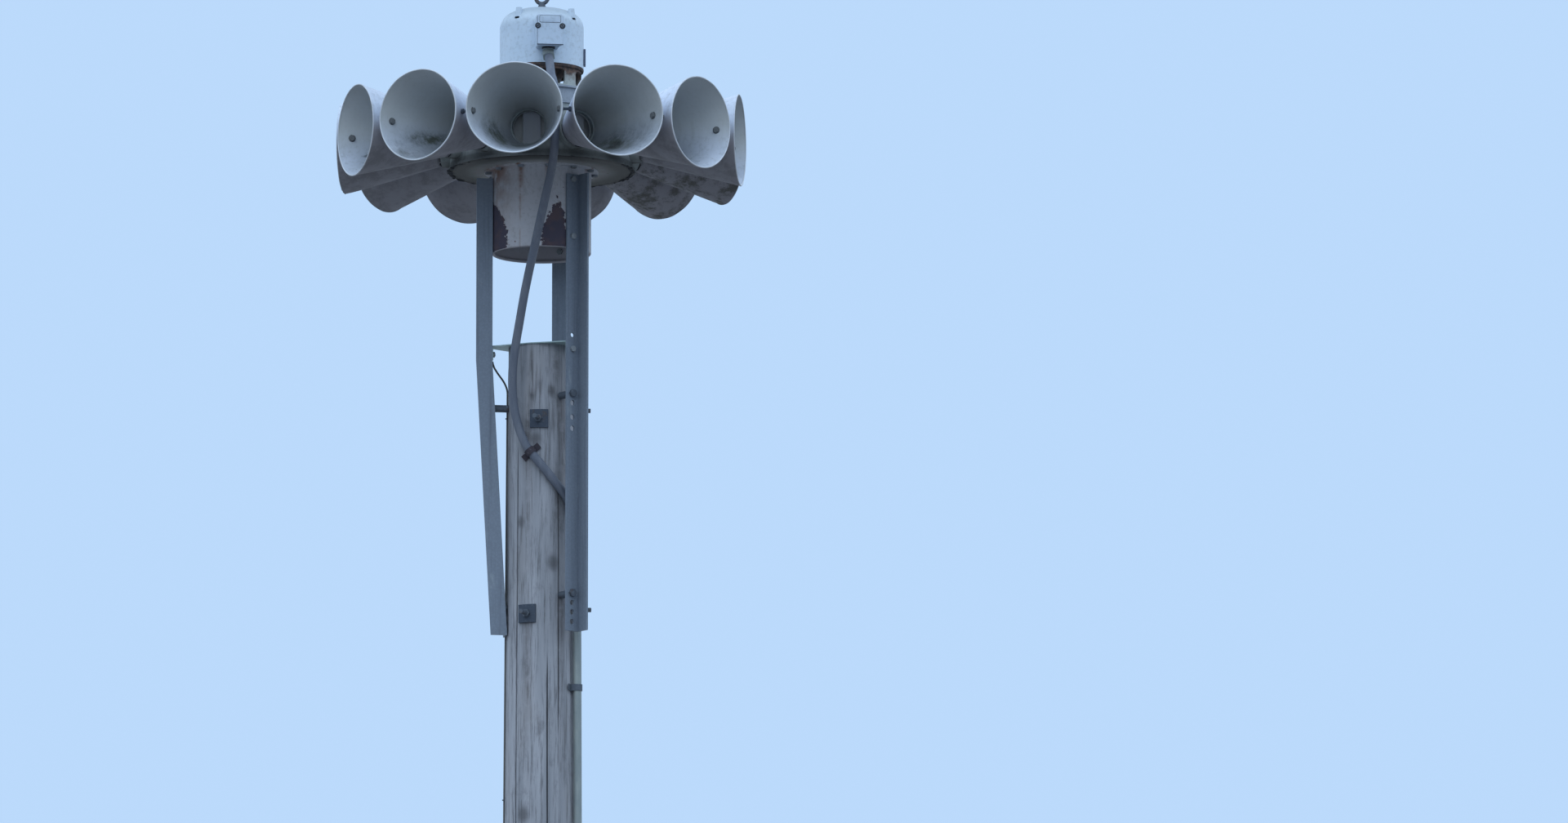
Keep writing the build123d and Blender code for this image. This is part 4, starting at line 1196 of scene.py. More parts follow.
@dataclass
class Viewpoint:
    """Long-lens camera that looks up at the horns, turned so that a known point meets its pixel."""

    centre: tuple[float, float, float]
    frame_width: int = 1920
    frame_height: int = 1008
    centre_pixel: tuple[float, float] = (663.1, 177.2)
    metres_per_pixel: float = 0.00255
    azimuth: float = 7.8
    elevation: float = -10.8
    distance: float = 49.5
    sensor: float = 36.0
    sight_end: float = 2000.0
    aim_rounds: int = 8

    def basis(self, yaw: float, pitch: float) -> np.ndarray:
        """Rows right, up and back of a level camera.

        Args:
            yaw: Direction that it looks towards, in radians from +Y towards +X.
            pitch: Rise of that direction, in radians.

        Returns:
            Array of 3 by 3.
        """
        ahead = np.array([math.sin(yaw) * math.cos(pitch), math.cos(yaw) * math.cos(pitch), math.sin(pitch)])
        right = np.array([math.cos(yaw), -math.sin(yaw), 0.0])
        return np.array([right, np.cross(right, ahead), -ahead])

    def build(self) -> bpy.types.Object:
        """Makes the camera and sets it as the scene's own.

        Returns:
            The camera.
        """
        focal_pixels = self.distance / self.metres_per_pixel
        across = (self.centre_pixel[0] - self.frame_width / 2) / focal_pixels
        upward = (self.frame_height / 2 - self.centre_pixel[1]) / focal_pixels
        level = math.radians(self.elevation)
        sight = outward(self.azimuth) * math.cos(level) + UP * math.sin(level)
        place = np.array(self.centre) + self.distance * sight
        yaw, pitch = -math.radians(self.azimuth), -level
        for _ in range(self.aim_rounds):
            seen = self.basis(yaw, pitch) @ -sight
            yaw += seen[0] / -seen[2] - across
            pitch += seen[1] / -seen[2] - upward
        data = bpy.data.cameras.new("viewpoint")
        data.sensor_width = self.sensor
        data.lens = self.sensor * focal_pixels / self.frame_width
        data.clip_end = self.sight_end
        camera = bpy.data.objects.new("viewpoint", data)
        bpy.context.scene.collection.objects.link(camera)
        matrix = Matrix(self.basis(yaw, pitch).T.tolist()).to_4x4()
        matrix.translation = Vector(place)
        camera.matrix_world = matrix
        bpy.context.scene.camera = camera
        return camera


class HornPatch(NamedTuple):
    """Soft patch inside a horn, with angles in degrees from its lowest line."""

    horn: int
    angle: float
    place: float
    width: float
    reach: float
    strength: float


@dataclass
class HornRing:
    """Twelve thin spun horns with rolled lips, each a little out of round."""

    finish: bpy.types.Material
    plane: float
    count: int = 12
    seat_distance: float = 0.2983
    cone_start: float = 0.314
    mouth_distance: float = 0.623
    mouth_inset: float = 0.001
    throat_radius: float = 0.060
    mouth_radius: float = 0.1475
    wall: float = 0.003
    lip_radius: float = 0.0025
    lip_turn: float = 105.0
    oval: float = 0.0265
    slow_dents: float = 0.0011
    small_dents: float = 0.0007
    chip_depth: float = 0.004
    chip_unevenness: float = 0.0035
    kink_depth: float = 0.0030
    points_around: int = 168
    cone_rows: int = 22
    lip_rows: int = 12
    worn_horns: tuple[int, ...] = (4, 5)
    worn_mottling: float = 0.85
    mottling: float = 0.30
    chipped_horn: int = 9
    kinked_horn: int = 1
    growths: tuple[HornPatch, ...] = (
        HornPatch(0, -55.0, 0.45, 38.0, 0.30, 0.90),
        HornPatch(0, -10.0, 0.34, 48.0, 0.24, 0.70),
        HornPatch(1, 36.0, 0.45, 40.0, 0.32, 0.90),
        HornPatch(1, -15.0, 0.30, 50.0, 0.22, 0.75),
        HornPatch(11, -64.0, 0.46, 17.0, 0.28, 1.00),
        HornPatch(11, -36.0, 0.90, 16.0, 0.07, 0.60),
        HornPatch(10, 0.0, 0.90, 20.0, 0.06, 0.35),
        HornPatch(2, 20.0, 0.80, 30.0, 0.10, 0.30),
    )
    greys: tuple[HornPatch, ...] = (
        HornPatch(11, -18.0, 0.88, 44.0, 0.28, 0.95),
        HornPatch(11, 0.0, 0.55, 50.0, 0.30, 0.40),
        HornPatch(1, 20.0, 0.60, 60.0, 0.40, 0.50),
        HornPatch(1, 62.0, 0.80, 50.0, 0.34, 0.62),
        HornPatch(0, 80.0, 0.60, 44.0, 0.42, 0.85),
        HornPatch(0, 20.0, 0.60, 60.0, 0.40, 0.20),
        HornPatch(0, -90.0, 0.95, 40.0, 0.20, 0.25),
        HornPatch(10, -50.0, 0.90, 60.0, 0.20, 0.15),
    )
    smears: tuple[HornPatch, ...] = (
        HornPatch(10, -62.0, 0.66, 5.0, 0.20, 0.75),
        HornPatch(10, -30.0, 0.93, 14.0, 0.02, 0.45),
        HornPatch(11, -66.0, 0.62, 3.0, 0.34, 0.45),
        HornPatch(0, -78.0, 0.55, 4.0, 0.30, 0.40),
    )
    spread_seed: int = 77

    def profile(self) -> tuple[np.ndarray, np.ndarray, np.ndarray]:
        """Closed section of one horn, with its marks inside and lip.

        The inner wall runs from the neck to the mouth, a circle of the lip's radius rolls it
        over, and the outer wall runs back to the neck.

        Returns:
            Pairs (distance, radius), the inside mark and the lip mark for each pair.
        """
        rim = self.mouth_radius - self.lip_radius / 2
        cone = np.linspace(0.0, 1.0, self.cone_rows)
        distance = self.cone_start + (self.mouth_distance - self.mouth_inset - self.cone_start) * cone
        outer = self.throat_radius + (rim - self.throat_radius) * cone
        inner = outer - self.wall
        turn = np.radians(np.linspace(-self.lip_turn, self.lip_turn, self.lip_rows))
        lip_distance = self.mouth_distance + self.lip_radius * np.cos(turn)
        lip_height = self.mouth_radius - self.lip_radius + self.lip_radius * np.sin(turn)
        neck = [self.seat_distance]
        along = np.concatenate((neck, distance, lip_distance, distance[::-1], neck))
        radius = np.concatenate(([inner[0]], inner, lip_height, outer[::-1], [outer[0]]))
        ones, zeros = np.ones(1 + self.cone_rows), np.zeros(1 + self.cone_rows)
        inside = np.concatenate((ones, np.linspace(1.0, 0.0, self.lip_rows), zeros))
        lip = np.concatenate((zeros, np.ones(self.lip_rows), zeros))
        return np.stack((along, radius), axis=1), inside, lip

    def dents(self, index: int, low: np.ndarray, side: np.ndarray, along: np.ndarray) -> np.ndarray:
        """How far the wall moves off its round form: an oval, slow waves, and two bent lips.

        The oval is the radius times its share times (side squared - low squared), and it and the
        waves grow with the place along the horn.

        Args:
            index: Number of the horn.
            low: Minus the height of each column on the unit circle.
            side: Its place across on the unit circle.
            along: Place of each row, from 0 at the throat to 1 at the mouth.

        Returns:
            Change of the radius for each point.
        """
        move = self.oval * self.mouth_radius * along * (side**2 - low**2)
        move = move + self.slow_dents * along**2 * ripples(200 + index, 5, 0.7 * low, 0.7 * side)
        move = move + self.small_dents * along * ripples(300 + index, 6, 1.6 * low, 1.6 * side, 1.2 * along)
        if index == self.chipped_horn:
            under = smooth_step(low, 0.80, 0.98) * along**14
            move = move - under * (self.chip_depth + self.chip_unevenness * ripples(17, 4, 4.0 * side))
        if index == self.kinked_horn:
            bent = np.exp(-(((low - 0.45) / 0.28) ** 2)) * smooth_step(-side, 0.3, 0.8) * along**10
            move = move - self.kink_depth * bent
        return move

    def spread(
        self, patches: tuple[HornPatch, ...], index: int, angle: np.ndarray, along: np.ndarray
    ) -> np.ndarray:
        """Mark of soft patches: strength times exp(-(angle off / width)^2 - (along off / reach)^2).

        Angles are in degrees from the lowest line of the horn, towards larger azimuths. A horn
        without a patch of its own gets two drawn ones, low down.

        Args:
            patches: The patches of all horns.
            index: Number of the horn.
            angle: Angles of the grid's columns in degrees.
            along: Place along the horn of the grid's rows, from 0 at the throat to 1.

        Returns:
            Mark for each point.
        """
        own = [patch for patch in patches if patch.horn == index]
        if not own:
            draws = np.random.default_rng(self.spread_seed + index)
            own = [
                HornPatch(
                    index, draws.uniform(-50.0, 50.0), draws.uniform(0.3, 0.8), draws.uniform(14.0, 30.0),
                    reach=0.16, strength=0.7,
                )
                for _ in range(2)
            ]
        total = np.zeros(np.broadcast(angle, along).shape)
        for patch in own:
            off = turn_off(angle, patch.angle) / patch.width
            gap = (along - patch.place) / patch.reach
            total = np.maximum(total, patch.strength * np.exp(-(off**2) - gap**2))
        return total

    def build(self) -> None:
        """Makes the twelve horns.

        A point is the ring's centre + distance times outward + radius times the unit circle
        across the horn's axis.
        """
        profile, inside, lip = self.profile()
        inside, lip = inside[:, None], lip[:, None]
        angles = ring_angles(self.points_around)[None, :]
        low, side = -np.cos(angles), np.sin(angles)
        from_low = 180.0 - np.degrees(angles)
        span = self.mouth_distance - self.cone_start
        along = np.clip((profile[:, 0, None] - self.cone_start) / span, 0.0, 1.0)
        for index, azimuth in enumerate(azimuths(self.count)):
            radius = profile[:, 1, None] + self.dents(index, low, side, along)
            grid = self.plane * UP + profile[:, 0, None, None] * outward(azimuth)
            grid = grid + radius[..., None] * (-low[..., None] * UP + side[..., None] * around(azimuth))
            mottled = self.worn_mottling if index in self.worn_horns else self.mottling
            marks = {
                "inside": inside,
                "lip": lip,
                "along": along,
                "low": low,
                "growth": inside * self.spread(self.growths, index, from_low, along),
                "smear": inside * self.spread(self.smears, index, from_low, along),
                "grey": inside * self.spread(self.greys, index, from_low, along),
                "mottled": np.array([[mottled]]),
            }
            name = f"horn_{index + 1:02d}"
            shape = Shape(f"{name}_shell").add(grid, closed_rows=True, marks=marks)
            shape.build(self.finish, "horn_paint", (name,), sharp=50.0)


@dataclass
class RotorScoops:
    """Thin vanes inside the rotor that lean across its windows and throw the air outwards."""

    finish: bpy.types.Material
    plane: float
    count: int = 12
    turn: float = 1.2
    half_angle: float = 9.3
    rim_radius: float = 0.2600
    inner_radius: float = 0.2380
    half_height: float = 0.0505
    thickness: float = 0.0025
    columns: int = 14

    def build(self) -> None:
        """Makes the vanes: the radius falls from the rim by the share of the width, squared.

        Each vane is its plan at two levels, closed at both ends by rows drawn in to its middle.
        """
        scoops = Shape("rotor_scoop_vanes")
        share = np.linspace(0.0, 1.0, self.columns)
        radius = self.rim_radius - (self.rim_radius - self.inner_radius) * (1.0 - (1.0 - share) ** 2)
        section = np.concatenate((radius, (radius - self.thickness)[::-1]))
        lean = self.half_angle * (2.0 * np.concatenate((share, share[::-1])) - 1.0)
        levels = self.plane + self.half_height * np.array([-1.0, -1.0, 1.0, 1.0])
        widths = np.array([0.0, 1.0, 1.0, 0.0])
        height = np.broadcast_to(levels[:, None, None], (len(levels), len(section), 1))
        for azimuth in azimuths(self.count, 180.0 / self.count + self.turn):
            angle = np.radians(azimuth + lean)
            flat = np.stack((section * np.sin(angle), -section * np.cos(angle)), axis=-1)
            middle = (radius.mean() - self.thickness / 2) * outward(azimuth)[:2]
            plan = middle + widths[:, None, None] * (flat - middle)
            scoops.add(np.concatenate((plan, height), axis=-1))
        scoops.build(self.finish, "housing_paint")


@dataclass
class HornLinks:
    """Thin rods that tie neighbouring mouths, with nuts outside and heads inside the walls."""

    finish: bpy.types.Material
    head_finish: bpy.types.Material
    horns: HornRing
    reach: float = 0.597
    rod_radius: float = 0.0045
    rod_inset: float = 0.002
    nut_flats: float = 0.0150
    nut_height: float = 0.0075
    head_flats: float = 0.0165
    head_height: float = 0.0070
    washer_radius: float = 0.0115
    washer_thickness: float = 0.0016
    bevel: float = 0.001
    bevel_share: float = 0.85

    def wall_place(self) -> float:
        """Distance from a link's middle to the outer face of the horn's wall beside it.

        Along the rod, the distance from a horn's axis less the radius of its wall there falls
        to 0 at the wall. The place is read off that difference on a line of trial points.

        Returns:
            Distance along the rod.
        """
        horns = self.horns
        half = math.pi / horns.count
        trial = np.linspace(0.0, 0.10, 400)
        along_axis = self.reach * math.cos(half) + trial * math.sin(half)
        off_axis = self.reach * math.sin(half) - trial * math.cos(half)
        share = (along_axis - horns.cone_start) / (horns.mouth_distance - horns.cone_start)
        wall = horns.throat_radius + (horns.mouth_radius - horns.throat_radius) * share
        wall = wall + horns.oval * horns.mouth_radius * share
        return float(np.interp(0.0, -(off_axis - wall), trial))

    def build(self) -> None:
        """Makes the rods with their nuts, and the heads with their washers.

        Each is a solid turned about the rod's line, and all but the rod stand at both its ends.
        """
        place = self.wall_place()
        inner = place + self.horns.wall
        head = inner + self.washer_thickness
        end = head + self.head_height
        back = place - self.nut_height
        nut_corner = self.nut_flats / math.sqrt(3.0)
        head_corner = self.head_flats / math.sqrt(3.0)
        rod_end = end - self.rod_inset
        rod = capped((-rod_end, self.rod_radius), (rod_end, self.rod_radius))
        nut = capped(
            (back, self.bevel_share * nut_corner), (back + self.bevel, nut_corner), (place, nut_corner)
        )
        washer = capped((inner, self.washer_radius), (head, self.washer_radius))
        cap = capped(
            (head, head_corner), (end - self.bevel, head_corner), (end, self.bevel_share * head_corner)
        )
        links = Shape("horn_link_rods")
        heads = Shape("horn_link_heads")
        for azimuth in azimuths(self.horns.count, 180.0 / self.horns.count):
            middle = self.reach * outward(azimuth) + self.horns.plane * UP
            links.add(turned(rod, 16, middle, around(azimuth), UP))
            for axis in (around(azimuth), -around(azimuth)):
                links.add(turned(nut, 6, middle, axis, UP))
                heads.add(turned(washer, 24, middle, axis, UP))
                heads.add(turned(cap, 6, middle, axis, UP))
        links.build(self.finish, "bolt_steel", ("horn_link_bolts",))
        heads.build(self.head_finish, "bolt_steel")


class PeeledPatch(NamedTuple):
    """Bare patch at the drum's foot: half width in degrees, height, and power of its sides."""

    azimuth: float
    half_width: float
    tall: float
    power: float


class RustRun(NamedTuple):
    """Soft column of rust on the drum, from a height down, with its half width in degrees."""

    azimuth: float
    half_width: float
    start: float
    length: float
    depth: float


@dataclass
class IntakeDrum:
    """Sheet drum with a flange and a rolled foot, its paint peeled off in patches."""

    finish: bpy.types.Material
    foot: float
    top: float
    radius: float = 0.1555
    wall: float = 0.003
    flange_radius: float = 0.178
    flange_thickness: float = 0.004
    bead_radius: float = 0.005
    bead_turn: float = -230.0
    bead_rows: int = 14
    buckle: float = 0.0006
    points_around: int = 288
    wall_rows: int = 80
    inner_rows: int = 24
    peel_fade: float = 14.0
    patches: tuple[PeeledPatch, ...] = (
        PeeledPatch(-78.0, 41.5, 0.172, 3.4),
        PeeledPatch(26.5, 13.0, 0.152, 2.4),
        PeeledPatch(25.0, 15.5, 0.108, 4.0),
        PeeledPatch(121.0, 20.0, 0.090, 1.6),
        PeeledPatch(-160.0, 12.0, 0.060, 1.2),
    )
    runs: tuple[RustRun, ...] = (
        RustRun(-16.5, 3.0, 0.258, 0.085, 1.0),
        RustRun(-55.0, 16.0, 0.256, 0.035, 0.45),
        RustRun(-58.0, 26.0, 0.262, 0.170, 0.42),
        RustRun(-44.0, 20.0, 0.262, 0.240, 0.24),
        RustRun(-17.5, 0.7, 0.262, 0.600, 0.60),
        RustRun(14.0, 2.2, 0.258, 0.05, 0.5),
        RustRun(72.0, 3.5, 0.258, 0.10, 0.7),
        RustRun(135.0, 4.0, 0.258, 0.08, 0.8),
        RustRun(-118.0, 3.5, 0.258, 0.12, 0.7),
    )

    def profile(self) -> np.ndarray:
        """Closed section: down the outer wall, round the bead and up the inner wall.

        Returns:
            Pairs (height, radius).
        """
        inner = self.radius - self.wall
        flange_foot = self.top - self.flange_thickness
        down = np.linspace(flange_foot, self.foot + self.bead_radius, self.wall_rows)
        turn = np.radians(np.linspace(0.0, self.bead_turn, self.bead_rows))
        bead_distance = self.radius - self.bead_radius + self.bead_radius * np.cos(turn)
        bead_height = self.foot + self.bead_radius + self.bead_radius * np.sin(turn)
        up = np.linspace(self.foot + 2.2 * self.bead_radius, self.top, self.inner_rows)
        rows = [
            (self.top, inner),
            (self.top, self.flange_radius),
            (flange_foot, self.flange_radius),
            *zip(down, np.full(self.wall_rows, self.radius)),
            *zip(bead_height, bead_distance),
            *zip(up, np.full(self.inner_rows, inner)),
        ]
        return np.array(rows)

    def peel(self, azimuth: np.ndarray, rise: np.ndarray) -> np.ndarray:
        """Mark that is above 0 where the paint is gone.

        Each patch is 1 - |azimuth - middle| / half width, and its half width shrinks to 0 at
        its top as 1 - (rise / top) to a power, large for a steep side and 1 for a spike.

        Args:
            azimuth: Azimuths of the grid's columns.
            rise: Height of its rows above the drum's foot.

        Returns:
            Mark for each point, between -1 and 1.
        """
        best = np.full(np.broadcast(azimuth, rise).shape, -1.0)
        for patch in self.patches:
            share = np.clip(rise / patch.tall, 0.0, 1.5)
            room = patch.half_width * (1.0 - share**patch.power)
            best = np.maximum(best, (room - np.abs(turn_off(azimuth, patch.azimuth))) / self.peel_fade)
        return np.clip(best, -1.0, 1.0)

    def rust(self, azimuth: np.ndarray, rise: np.ndarray) -> np.ndarray:
        """Mark of the rust runs: a soft column at an azimuth, fading below its start.

        Args:
            azimuth: Azimuths of the grid's columns.
            rise: Height of its rows above the drum's foot.

        Returns:
            Mark for each point, between 0 and 1.
        """
        total = np.zeros(np.broadcast(azimuth, rise).shape)
        for run in self.runs:
            off = turn_off(azimuth, run.azimuth) / run.half_width
            fall = np.clip((run.start - rise) / run.length, 0.0, 4.0)
            total += run.depth * np.exp(-(off**2)) * np.exp(-(fall**2))
        return np.clip(total, 0.0, 1.0)

    def build(self) -> None:
        """Makes the drum: its section turned about the axis, less slow buckles in the wall."""
        profile = self.profile()
        grid = turned(profile, self.points_around, np.zeros(3), UP, outward(0.0))
        azimuth = np.degrees(ring_angles(self.points_around))[None, :]
        rise = profile[:, 0, None] - self.foot
        wall = (profile[:, 1, None] < self.radius + 0.0005).astype(float)
        middle = np.sin(np.pi * np.clip(rise / (self.top - self.foot), 0.0, 1.0)) * wall
        turn = np.radians(azimuth)
        waves = ripples(5, 6, np.sin(turn), np.cos(turn), 4.0 * rise) - 1.0
        push = self.buckle * middle * waves
        radial = np.stack((np.sin(turn), -np.cos(turn), np.zeros_like(turn)), axis=-1)
        grid = grid + push[..., None] * radial
        inside = (profile[:, 1, None] < self.radius - 0.6 * self.wall).astype(float)
        marks = {
            "inside": inside,
            "peel": np.where(inside > 0.5, -1.0, self.peel(azimuth, rise)),
            "rust": self.rust(azimuth, rise),
        }
        shape = Shape("intake_drum_sheet").add(grid, closed_rows=True, marks=marks)
        shape.build(self.finish, "drum_paint", ("intake_drum",), sharp=40.0)


class Check(NamedTuple):
    """Long crack in the pole, between two distances down from its top."""

    azimuth: float
    start: float
    end: float
    depth: float


class Knot(NamedTuple):
    """Knot in the pole, at a distance down from its top."""

    azimuth: float
    down: float
    size: float


class Smudge(NamedTuple):
    """Soft stain on the pole, at a distance down from its top."""

    azimuth: float
    down: float
    width: float
    length: float


@dataclass
class WoodPole:
    """Tapered pole with long checks that drift with the grain, knots and stains."""

    finish: bpy.types.Material
    height: float
    butt_radius: float = 0.1555
    top_radius: float = 0.101
    columns: int = 72
    fine_rows: int = 190
    coarse_rows: int = 120
    fine_length: float = 2.2
    unevenness: float = 0.0008
    drifts: tuple[tuple[float, float, float], ...] = ((5.0, 0.55, 0.0), (1.3, 2.9, 0.6))
    check_width: float = 0.0026
    run_width: float = 0.014
    run_length: float = 0.30
    smudge_strength: float = 0.85
    bolts: tuple[tuple[float, float], ...] = (
        (45.0, 0.162), (-75.0, 0.192), (165.0, 0.237), (45.0, 0.790), (-75.0, 0.820), (165.0, 0.850),
        (-135.0, 0.162), (105.0, 0.192), (-15.0, 0.237), (-135.0, 0.790), (105.0, 0.820), (-15.0, 0.850),
    )
    checks: tuple[Check, ...] = (
        Check(-10.0, 0.00, 0.17, 0.006),
        Check(38.0, 0.42, 1.30, 0.006),
        Check(-38.0, 0.30, 2.40, 0.008),
        Check(-62.0, 0.02, 0.50, 0.006),
        Check(88.0, 0.00, 3.10, 0.010),
        Check(140.0, 0.10, 5.00, 0.009),
        Check(-120.0, 0.00, 4.20, 0.008),
        Check(18.0, 0.95, 6.00, 0.007),
        Check(-160.0, 1.50, 9.00, 0.009),
        Check(62.0, 3.00, 9.90, 0.008),
    )
    knots: tuple[Knot, ...] = (
        Knot(0.0, 0.300, 0.016),
        Knot(-28.0, 0.560, 0.013),
        Knot(30.0, 0.690, 0.018),
        Knot(100.0, 0.950, 0.017),
        Knot(-8.0, 0.165, 0.008),
        Knot(26.0, 0.150, 0.011),
        Knot(5.0, 0.230, 0.007),
        Knot(-90.0, 1.250, 0.016),
        Knot(-20.0, 1.480, 0.019),
        Knot(170.0, 0.700, 0.017),
        Knot(60.0, 2.300, 0.018),
        Knot(-50.0, 3.400, 0.020),
        Knot(20.0, 4.700, 0.019),
        Knot(130.0, 5.600, 0.021),
        Knot(-10.0, 6.800, 0.022),
    )
    smudges: tuple[Smudge, ...] = (
        Smudge(36.0, 0.065, 0.018, 0.060),
        Smudge(29.0, 0.145, 0.011, 0.020),
        Smudge(46.0, 0.230, 0.017, 0.070),
        Smudge(-9.0, 0.050, 0.004, 0.050),
        Smudge(5.0, 0.130, 0.008, 0.022),
        Smudge(-14.0, 0.215, 0.008, 0.030),
        Smudge(40.0, 0.480, 0.015, 0.110),
        Smudge(150.0, 0.120, 0.020, 0.080),
        Smudge(-100.0, 0.100, 0.018, 0.090),
    )

    def angles(self) -> np.ndarray:
        """Column angles: even ones, and five close ones over each check.

        Returns:
            Angles in degrees, in order.
        """
        even = np.arange(self.columns) * 360.0 / self.columns
        close = math.degrees(self.check_width / self.top_radius)
        middles = np.array([check.azimuth for check in self.checks])
        offsets = close * np.array([-1.0, -0.5, 0.0, 0.5, 1.0])
        extra = (middles[:, None] + offsets).ravel() % 360.0
        away = np.abs(turn_off(even[:, None], middles[None, :])).min(axis=1)
        return np.sort(np.concatenate((even[away > 1.3 * close], extra)))

    def cut_checks(
        self, base: np.ndarray, drop: np.ndarray, radius: np.ndarray
    ) -> tuple[np.ndarray, np.ndarray]:
        """Cuts the checks: the radius less depth times 1 - |distance off the check| / its width.

        Args:
            base: Azimuths of the columns at the grain, which the checks follow.
            drop: Distance of the rows from the top.
            radius: Radius for each point.

        Returns:
            The new radius, and the mark crack.
        """
        crack = np.zeros_like(radius)
        for check in self.checks:
            off = np.radians(np.abs(turn_off(base, check.azimuth))) * radius
            opens = smooth_step(drop, check.start - 0.01, check.start + 0.12)
            ends = opens * smooth_step(-drop, -check.end, 0.2 - check.end)
            open_share = ends * np.clip(1.0 - off / self.check_width, 0.0, 1.0)
            crack = np.maximum(crack, open_share)
            radius = radius - check.depth * open_share
        return radius, crack

    def knot_mark(self, azimuth: np.ndarray, drop: np.ndarray, radius: np.ndarray) -> np.ndarray:
        """Mark of the knots: exp(-(distance / size)^4), and they are half as tall again as wide.

        Args:
            azimuth: Azimuth of each point.
            drop: Distance of the rows from the top.
            radius: Radius for each point.

        Returns:
            Mark for each point.
        """
        knot = np.zeros_like(radius)
        for each in self.knots:
            off = np.radians(turn_off(azimuth, each.azimuth)) * radius
            reach = np.hypot(off / each.size, (drop - each.down) / (1.5 * each.size))
            knot = np.maximum(knot, np.exp(-(reach**4)))
        return knot

    def stain_mark(self, azimuth: np.ndarray, drop: np.ndarray, radius: np.ndarray) -> np.ndarray:
        """Mark of the stains: runs that fade below each bolt, and soft smudges.

        Args:
            azimuth: Azimuth of each point.
            drop: Distance of the rows from the top.
            radius: Radius for each point.

        Returns:
            Mark for each point.
        """
        stain = np.zeros_like(radius)
        for middle, down in self.bolts:
            off = np.radians(turn_off(azimuth, middle)) * radius
            fall = np.clip((drop - down) / self.run_length, 0.0, 5.0)
            below = (drop > down).astype(float)
            stain = np.maximum(stain, below * np.exp(-((off / self.run_width) ** 2)) * np.exp(-fall))
        for smudge in self.smudges:
            off = np.radians(turn_off(azimuth, smudge.azimuth)) * radius
            spread = np.exp(-((off / smudge.width) ** 2) - ((drop - smudge.down) / smudge.length) ** 2)
            stain = np.maximum(stain, self.smudge_strength * spread)
        return stain

    def build(self) -> None:
        """Makes the pole: radius = taper - slow waves - depth in the checks, and closed ends."""
        base = self.angles()[None, :]
        fine = np.linspace(self.height, self.height - self.fine_length, self.fine_rows)
        coarse = np.linspace(self.height - self.fine_length, 0.0, self.coarse_rows)[1:]
        z = np.concatenate((fine, coarse))[:, None]
        drop = self.height - z
        azimuth = base + sum(size * np.sin(turns * drop + phase) for size, turns, phase in self.drifts)
        turn = np.radians(azimuth)
        radius = self.butt_radius + (self.top_radius - self.butt_radius) * z / self.height
        waves = ripples(11, 6, np.sin(turn), np.cos(turn), 0.8 * drop)
        radius, crack = self.cut_checks(base, drop, radius - self.unevenness * (1.0 + waves) / 2)
        height = np.broadcast_to(z, radius.shape)
        grid = np.stack((radius * np.sin(turn), -radius * np.cos(turn), height), axis=-1)
        grid = np.concatenate((grid[:1] * UP, grid, grid[-1:] * UP))
        knot = self.knot_mark(azimuth, drop, radius)
        stain = self.stain_mark(azimuth, drop, radius)
        marks = {
            name: np.concatenate((values[:1], values, values[-1:]))
            for name, values in (("crack", crack), ("knot", knot), ("stain", stain))
        }
        shape = Shape("pole_wood_shaft").add(grid, marks=marks)
        shape.build(self.finish, "pole_wood", ("pole",), sharp=60.0)


